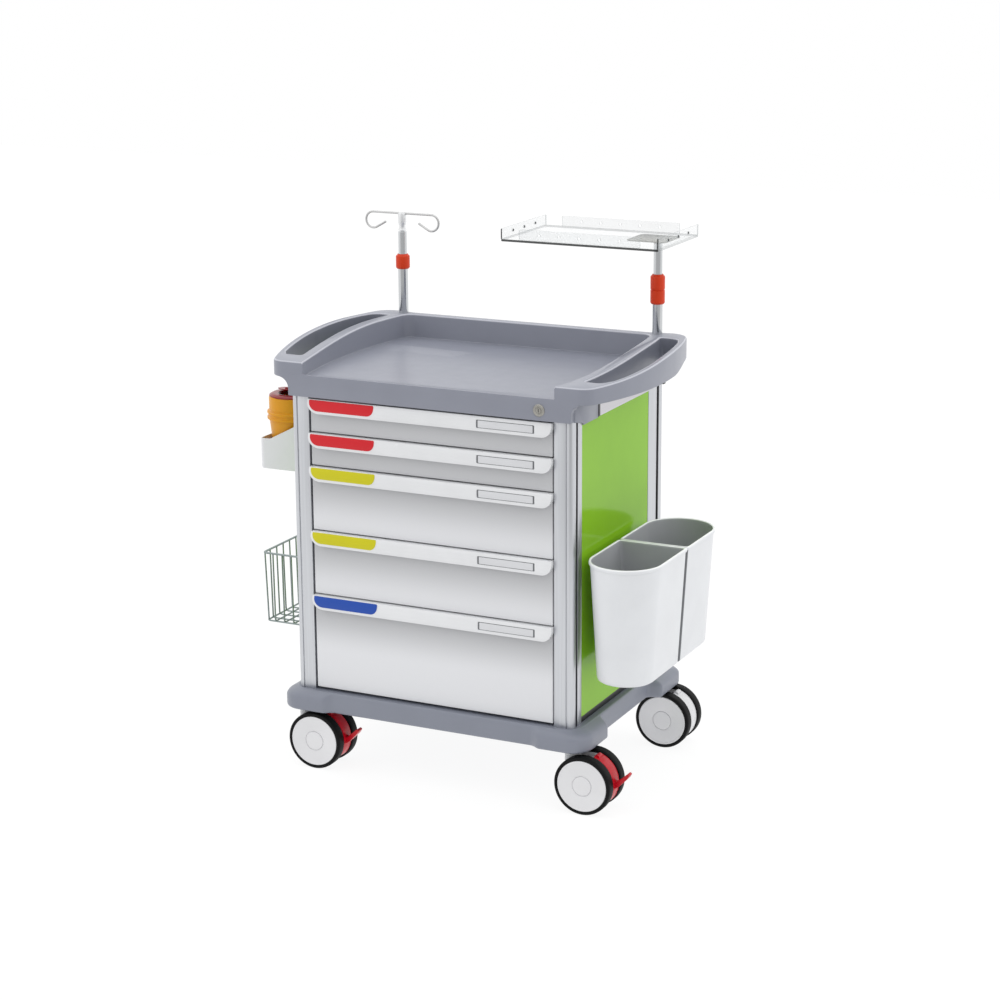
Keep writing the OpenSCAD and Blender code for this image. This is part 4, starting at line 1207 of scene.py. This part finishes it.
def make_holder():
    x0, z0 = HOLDER_LOW.x, HOLDER_LOW.z
    rim = 66
    side = rounded([(x0 + 1.5, z0), (-CAB_X, z0), (-CAB_X, z0 + 139), (x0 + 28, z0 + rim + 1),
                    (x0, z0 + rim)], [9, 0, 6, 14, 2], 6)
    shell = solid("sharps_holder_shell", along_y(side, HOLDER_Y, HOLDER_Y + HOLDER_D))
    plan = rectangle(x0, HOLDER_Y, -CAB_X, HOLDER_Y + HOLDER_D, [14, 1, 1, 14], 8)
    combine(shell, prism(plan, z0 - 5, z0 + 160), "INTERSECT")
    w = HOLDER_WALL
    inner = rectangle(x0 + w, HOLDER_Y + w, -CAB_X - 5, HOLDER_Y + HOLDER_D - w, [11, 1, 1, 11], 8)
    combine(shell, prism(inner, z0 + w, z0 + 200), "DIFFERENCE")
    plate = box((-CAB_X - 3, HOLDER_Y - 14, z0 + 20), (-CAB_X, HOLDER_Y + HOLDER_D + 14, z0 + 148))
    soften(shell, 1.1, 3, 40)
    piece(shell, "cart", HOLDER_WHITE, ["sharps_holder"], 35)
    back = soften(solid("sharps_holder_plate", plate), 0.8, 3)
    piece(back, "cart", HOLDER_WHITE, smooth=35)


def make_container():
    low, high = node_box("sharps_container")
    x, y, z = (low.x + high.x) / 2, (low.y + high.y) / 2, low.z
    outer = [(0, 0), (41, 0), (44.5, 1), (46, 3.5), (50, 69), (53.4, 99), (54, 101.4),
             (56.8, 102.2), (58.3, 103.4), (58.5, 105.5), (58.1, 107.6), (56.4, 109),
             (55.9, 111.5), (56.4, 114), (58.1, 115.4), (58.5, 117.5), (58.2, 119.6),
             (56.6, 120.9), (54.4, 121.8), (54, 124), (54, 150), (53.4, 152.2), (52.4, 153),
             (51.05, 152.6), (51.05, 101), (47, 69), (43.6, 5), (42, 3.6), (0, 3.6)]
    bottle = solid("sharps_bottle_shell", shifted(lathe(outer, 96), x, y, z))
    piece(bottle, "sharps_bottle", YELLOW_BOTTLE, ["sharps_container"], 35)
    top = node_box("sharps_lid")[0].z
    ring = [(30, 0), (50.9, 0), (50.9, 3.4), (52.6, 4.0), (53.2, 5.2), (52.6, 6.6), (49, 8.6),
            (46, 10), (36, 10.2), (33.2, 9.6), (31, 7), (30, 5), (30, 0)]
    lid = solid("sharps_lid_ring", shifted(lathe(ring, 96), x, y, top))
    hinge = joint_point("sharps_flap_hinge")
    ears = []
    for side in (-1, 1):
        ear = rectangle(hinge.y - 4, top + 8, hinge.y + 4, hinge.z + 3, [0, 0, 3, 3], 5)
        ears.append(along_x(ear, x + side * 11 - 1.5, x + side * 11 + 1.5))
    combine(lid, joined(ears), "UNION")
    piece(lid, "sharps_bottle", LID_RED, ["sharps_lid"], 35)
    disc = lathe([(0, -2.4), (32.5, -2.4), (34, -1.6), (34, -0.9), (33, -0.1), (29, 0.1),
                  (27.5, -0.7), (0, -0.7)], 72)
    flap = solid("sharps_flap_disc", shifted(disc, 0, -40, 0))
    knuckle = moved(lathe([(0, -9), (2.6, -9), (3, -8.6), (3, 8.6), (2.6, 9), (0, 9)], 28), TO_X)
    button = shifted(lathe([(0, -0.8), (5, -0.8), (5, 3), (4, 4), (0, 4)], 32), 0, -67, 0)
    pin = moved(lathe([(0, -12.6), (1.1, -12.6), (1.4, -12.3), (1.4, 12.3), (1.1, 12.6),
                       (0, 12.6)], 20), TO_X)
    for part in (box((-9, -9, -2.4), (9, 0, -0.2)), knuckle, button, pin):
        combine(flap, part, "UNION")
    tilt = Matrix.Translation(hinge * MM) @ Matrix.Rotation(math.radians(-FLAP_OPEN), 4, "X")
    flap.data.transform(tilt)
    piece(flap, "sharps_flap", LID_RED, ["sharps_flap"], 35)


make_holder()
make_container()

# ---- wire basket

BASKET_LOW, BASKET_HIGH = node_box("wire_basket")
BASKET_TAPER = 3.5
BASKET_X1 = -CAB_X - 3


def make_basket():
    """Rim and foot wires, U-shaped wires both ways, and the strap that screws to the panel."""
    z0, z1 = BASKET_LOW.z + 2, BASKET_HIGH.z - 2
    x0, x1 = BASKET_LOW.x + 2, BASKET_X1
    y0, y1 = BASKET_LOW.y + 2, BASKET_HIGH.y - 2
    parts = []

    def loop(z, inset, r):
        outline = rectangle(x0 + inset, y0 + inset, x1, y1 - inset, 9)
        return tube([(x, y, z) for x, y in outline], r, 10, closed=True)

    parts.append(loop(z1, 0, 2.4))
    parts.append(loop(z0, BASKET_TAPER, 2.0))
    thin = 1.8
    for i in range(1, 7):
        x = x0 + (x1 - x0) * i / 7 + 1
        foot = rounded([(y0 + 0.5, z1), (y0 + BASKET_TAPER, z0), (y1 - BASKET_TAPER, z0),
                        (y1 - 0.5, z1)], [0, 6, 6, 0], 5)
        parts.append(tube([(x, y, z) for y, z in foot], thin, 8))
    for j in range(1, 7):
        y = y0 + (y1 - y0) * j / 7
        foot = rounded([(x0 + 0.5, z1), (x0 + BASKET_TAPER, z0 - 1), (x1, z0 - 1), (x1, z1)],
                       [0, 6, 4, 0], 5)
        parts.append(tube([(x, y, z) for x, z in foot], thin, 8))
    for xa, ya in ((x0, y0), (x0, y1), (x1, y0), (x1, y1)):
        dx = BASKET_TAPER if xa == x0 else 0
        dy = BASKET_TAPER if ya == y0 else -BASKET_TAPER
        push = 2.6 if xa == x0 else 0
        lean = 2.6 if ya == y0 else -2.6
        parts.append(tube([(xa + push, ya + lean, z1), (xa + dx + push, ya + dy + lean, z0)],
                          thin, 8))
    wires = solid("basket_wires", joined(parts))
    piece(wires, "cart", WIRE_CHROME, ["wire_basket"], 70)
    strap = box((x1 + 1.2, BASKET_LOW.y + 10, z1 - 24), (-CAB_X, BASKET_HIGH.y - 10, z1))
    piece(soften(solid("basket_strap", strap), 0.6, 2), "cart", ANODISED,
          smooth=35)


make_basket()

# ---- stage

CENTRE = (0.0562, -0.0221, 0.5796)      # the point that the camera looks at, in metres
DISTANCE = 5.2                          # from there to the camera
AZIMUTH, ELEVATION, ROLL = (math.radians(a) for a in (25.96, 14.85, -0.356))
LENS, SENSOR = 88.06, 36


def make_camera():
    """A long-lens view from the right and a little above."""
    flat = math.cos(ELEVATION)
    back = Vector((math.sin(AZIMUTH) * flat, -math.cos(AZIMUTH) * flat, math.sin(ELEVATION)))
    data = bpy.data.cameras.new("camera")
    data.lens, data.sensor_width = LENS, SENSOR
    data.clip_start, data.clip_end = 0.1, 60
    camera = bpy.data.objects.new("camera", data)
    bpy.context.scene.collection.objects.link(camera)
    camera.location = Vector(CENTRE) + back * DISTANCE
    camera.rotation_mode = "QUATERNION"
    turn = (-back).to_track_quat("-Z", "Y")
    camera.rotation_quaternion = turn @ Matrix.Rotation(ROLL, 4, "Z").to_quaternion()
    bpy.context.scene.camera = camera


def make_world():
    """A white studio: brighter overhead, and dimmer round the viewer."""
    world = bpy.data.worlds.new("studio")
    world.use_nodes = True
    tree = world.node_tree
    where = tree.nodes.new("ShaderNodeTexCoord")
    split = tree.nodes.new("ShaderNodeSeparateXYZ")
    tree.links.new(where.outputs["Generated"], split.inputs["Vector"])
    up = mapped(tree, split.outputs["Z"], (0.1, 1, 1, OVERHEAD))
    toward = reach(tree, where.outputs["Generated"], (0.42, -0.87, 0.26))
    dim = mapped(tree, toward, (0.7, 0.97, 1, VIEWER), "SMOOTHSTEP")
    total = tree.nodes.new("ShaderNodeMath")
    total.operation = "MULTIPLY"
    tree.links.new(up, total.inputs[0])
    tree.links.new(dim, total.inputs[1])
    background = tree.nodes["Background"]
    background.inputs["Color"].default_value = (1, 1, 1, 1)
    tree.links.new(total.outputs["Value"], background.inputs["Strength"])
    bpy.context.scene.world = world


def make_floor():
    """A plain white floor that glows like a light table, and less so near the viewer."""
    floor = solid("floor", box((-9000, -9000, -20), (9000, 9000, 0)))
    s = Shader("floor_paint", (0.12, 0.12, 0.12), 0.95, Specular_IOR_Level=0.0,
               Emission_Color=(1, 1, 1, 1), Emission_Strength=GLOW)
    s.bump(s.noise(20, 3), 0.1, 0.05)
    s.vary_roughness(s.noise(5, 3), 0.04)
    near = reach(s.tree, s.place(), (0.44, -0.9, 0))
    fade = mapped(s.tree, near, (1.5, 4, GLOW, GLOW / 2))
    s.link(fade, s.principled.inputs["Emission Strength"])
    floor.data.materials.append(s.material)


OVERHEAD = 1.5            # brightness straight above, against 1 at the horizon
VIEWER = 0.55             # share of the brightness left round the viewer
GLOW = 0.9                # the floor's own light

bpy.context.scene.view_settings.view_transform = "Standard"
make_camera()
make_world()
make_floor()
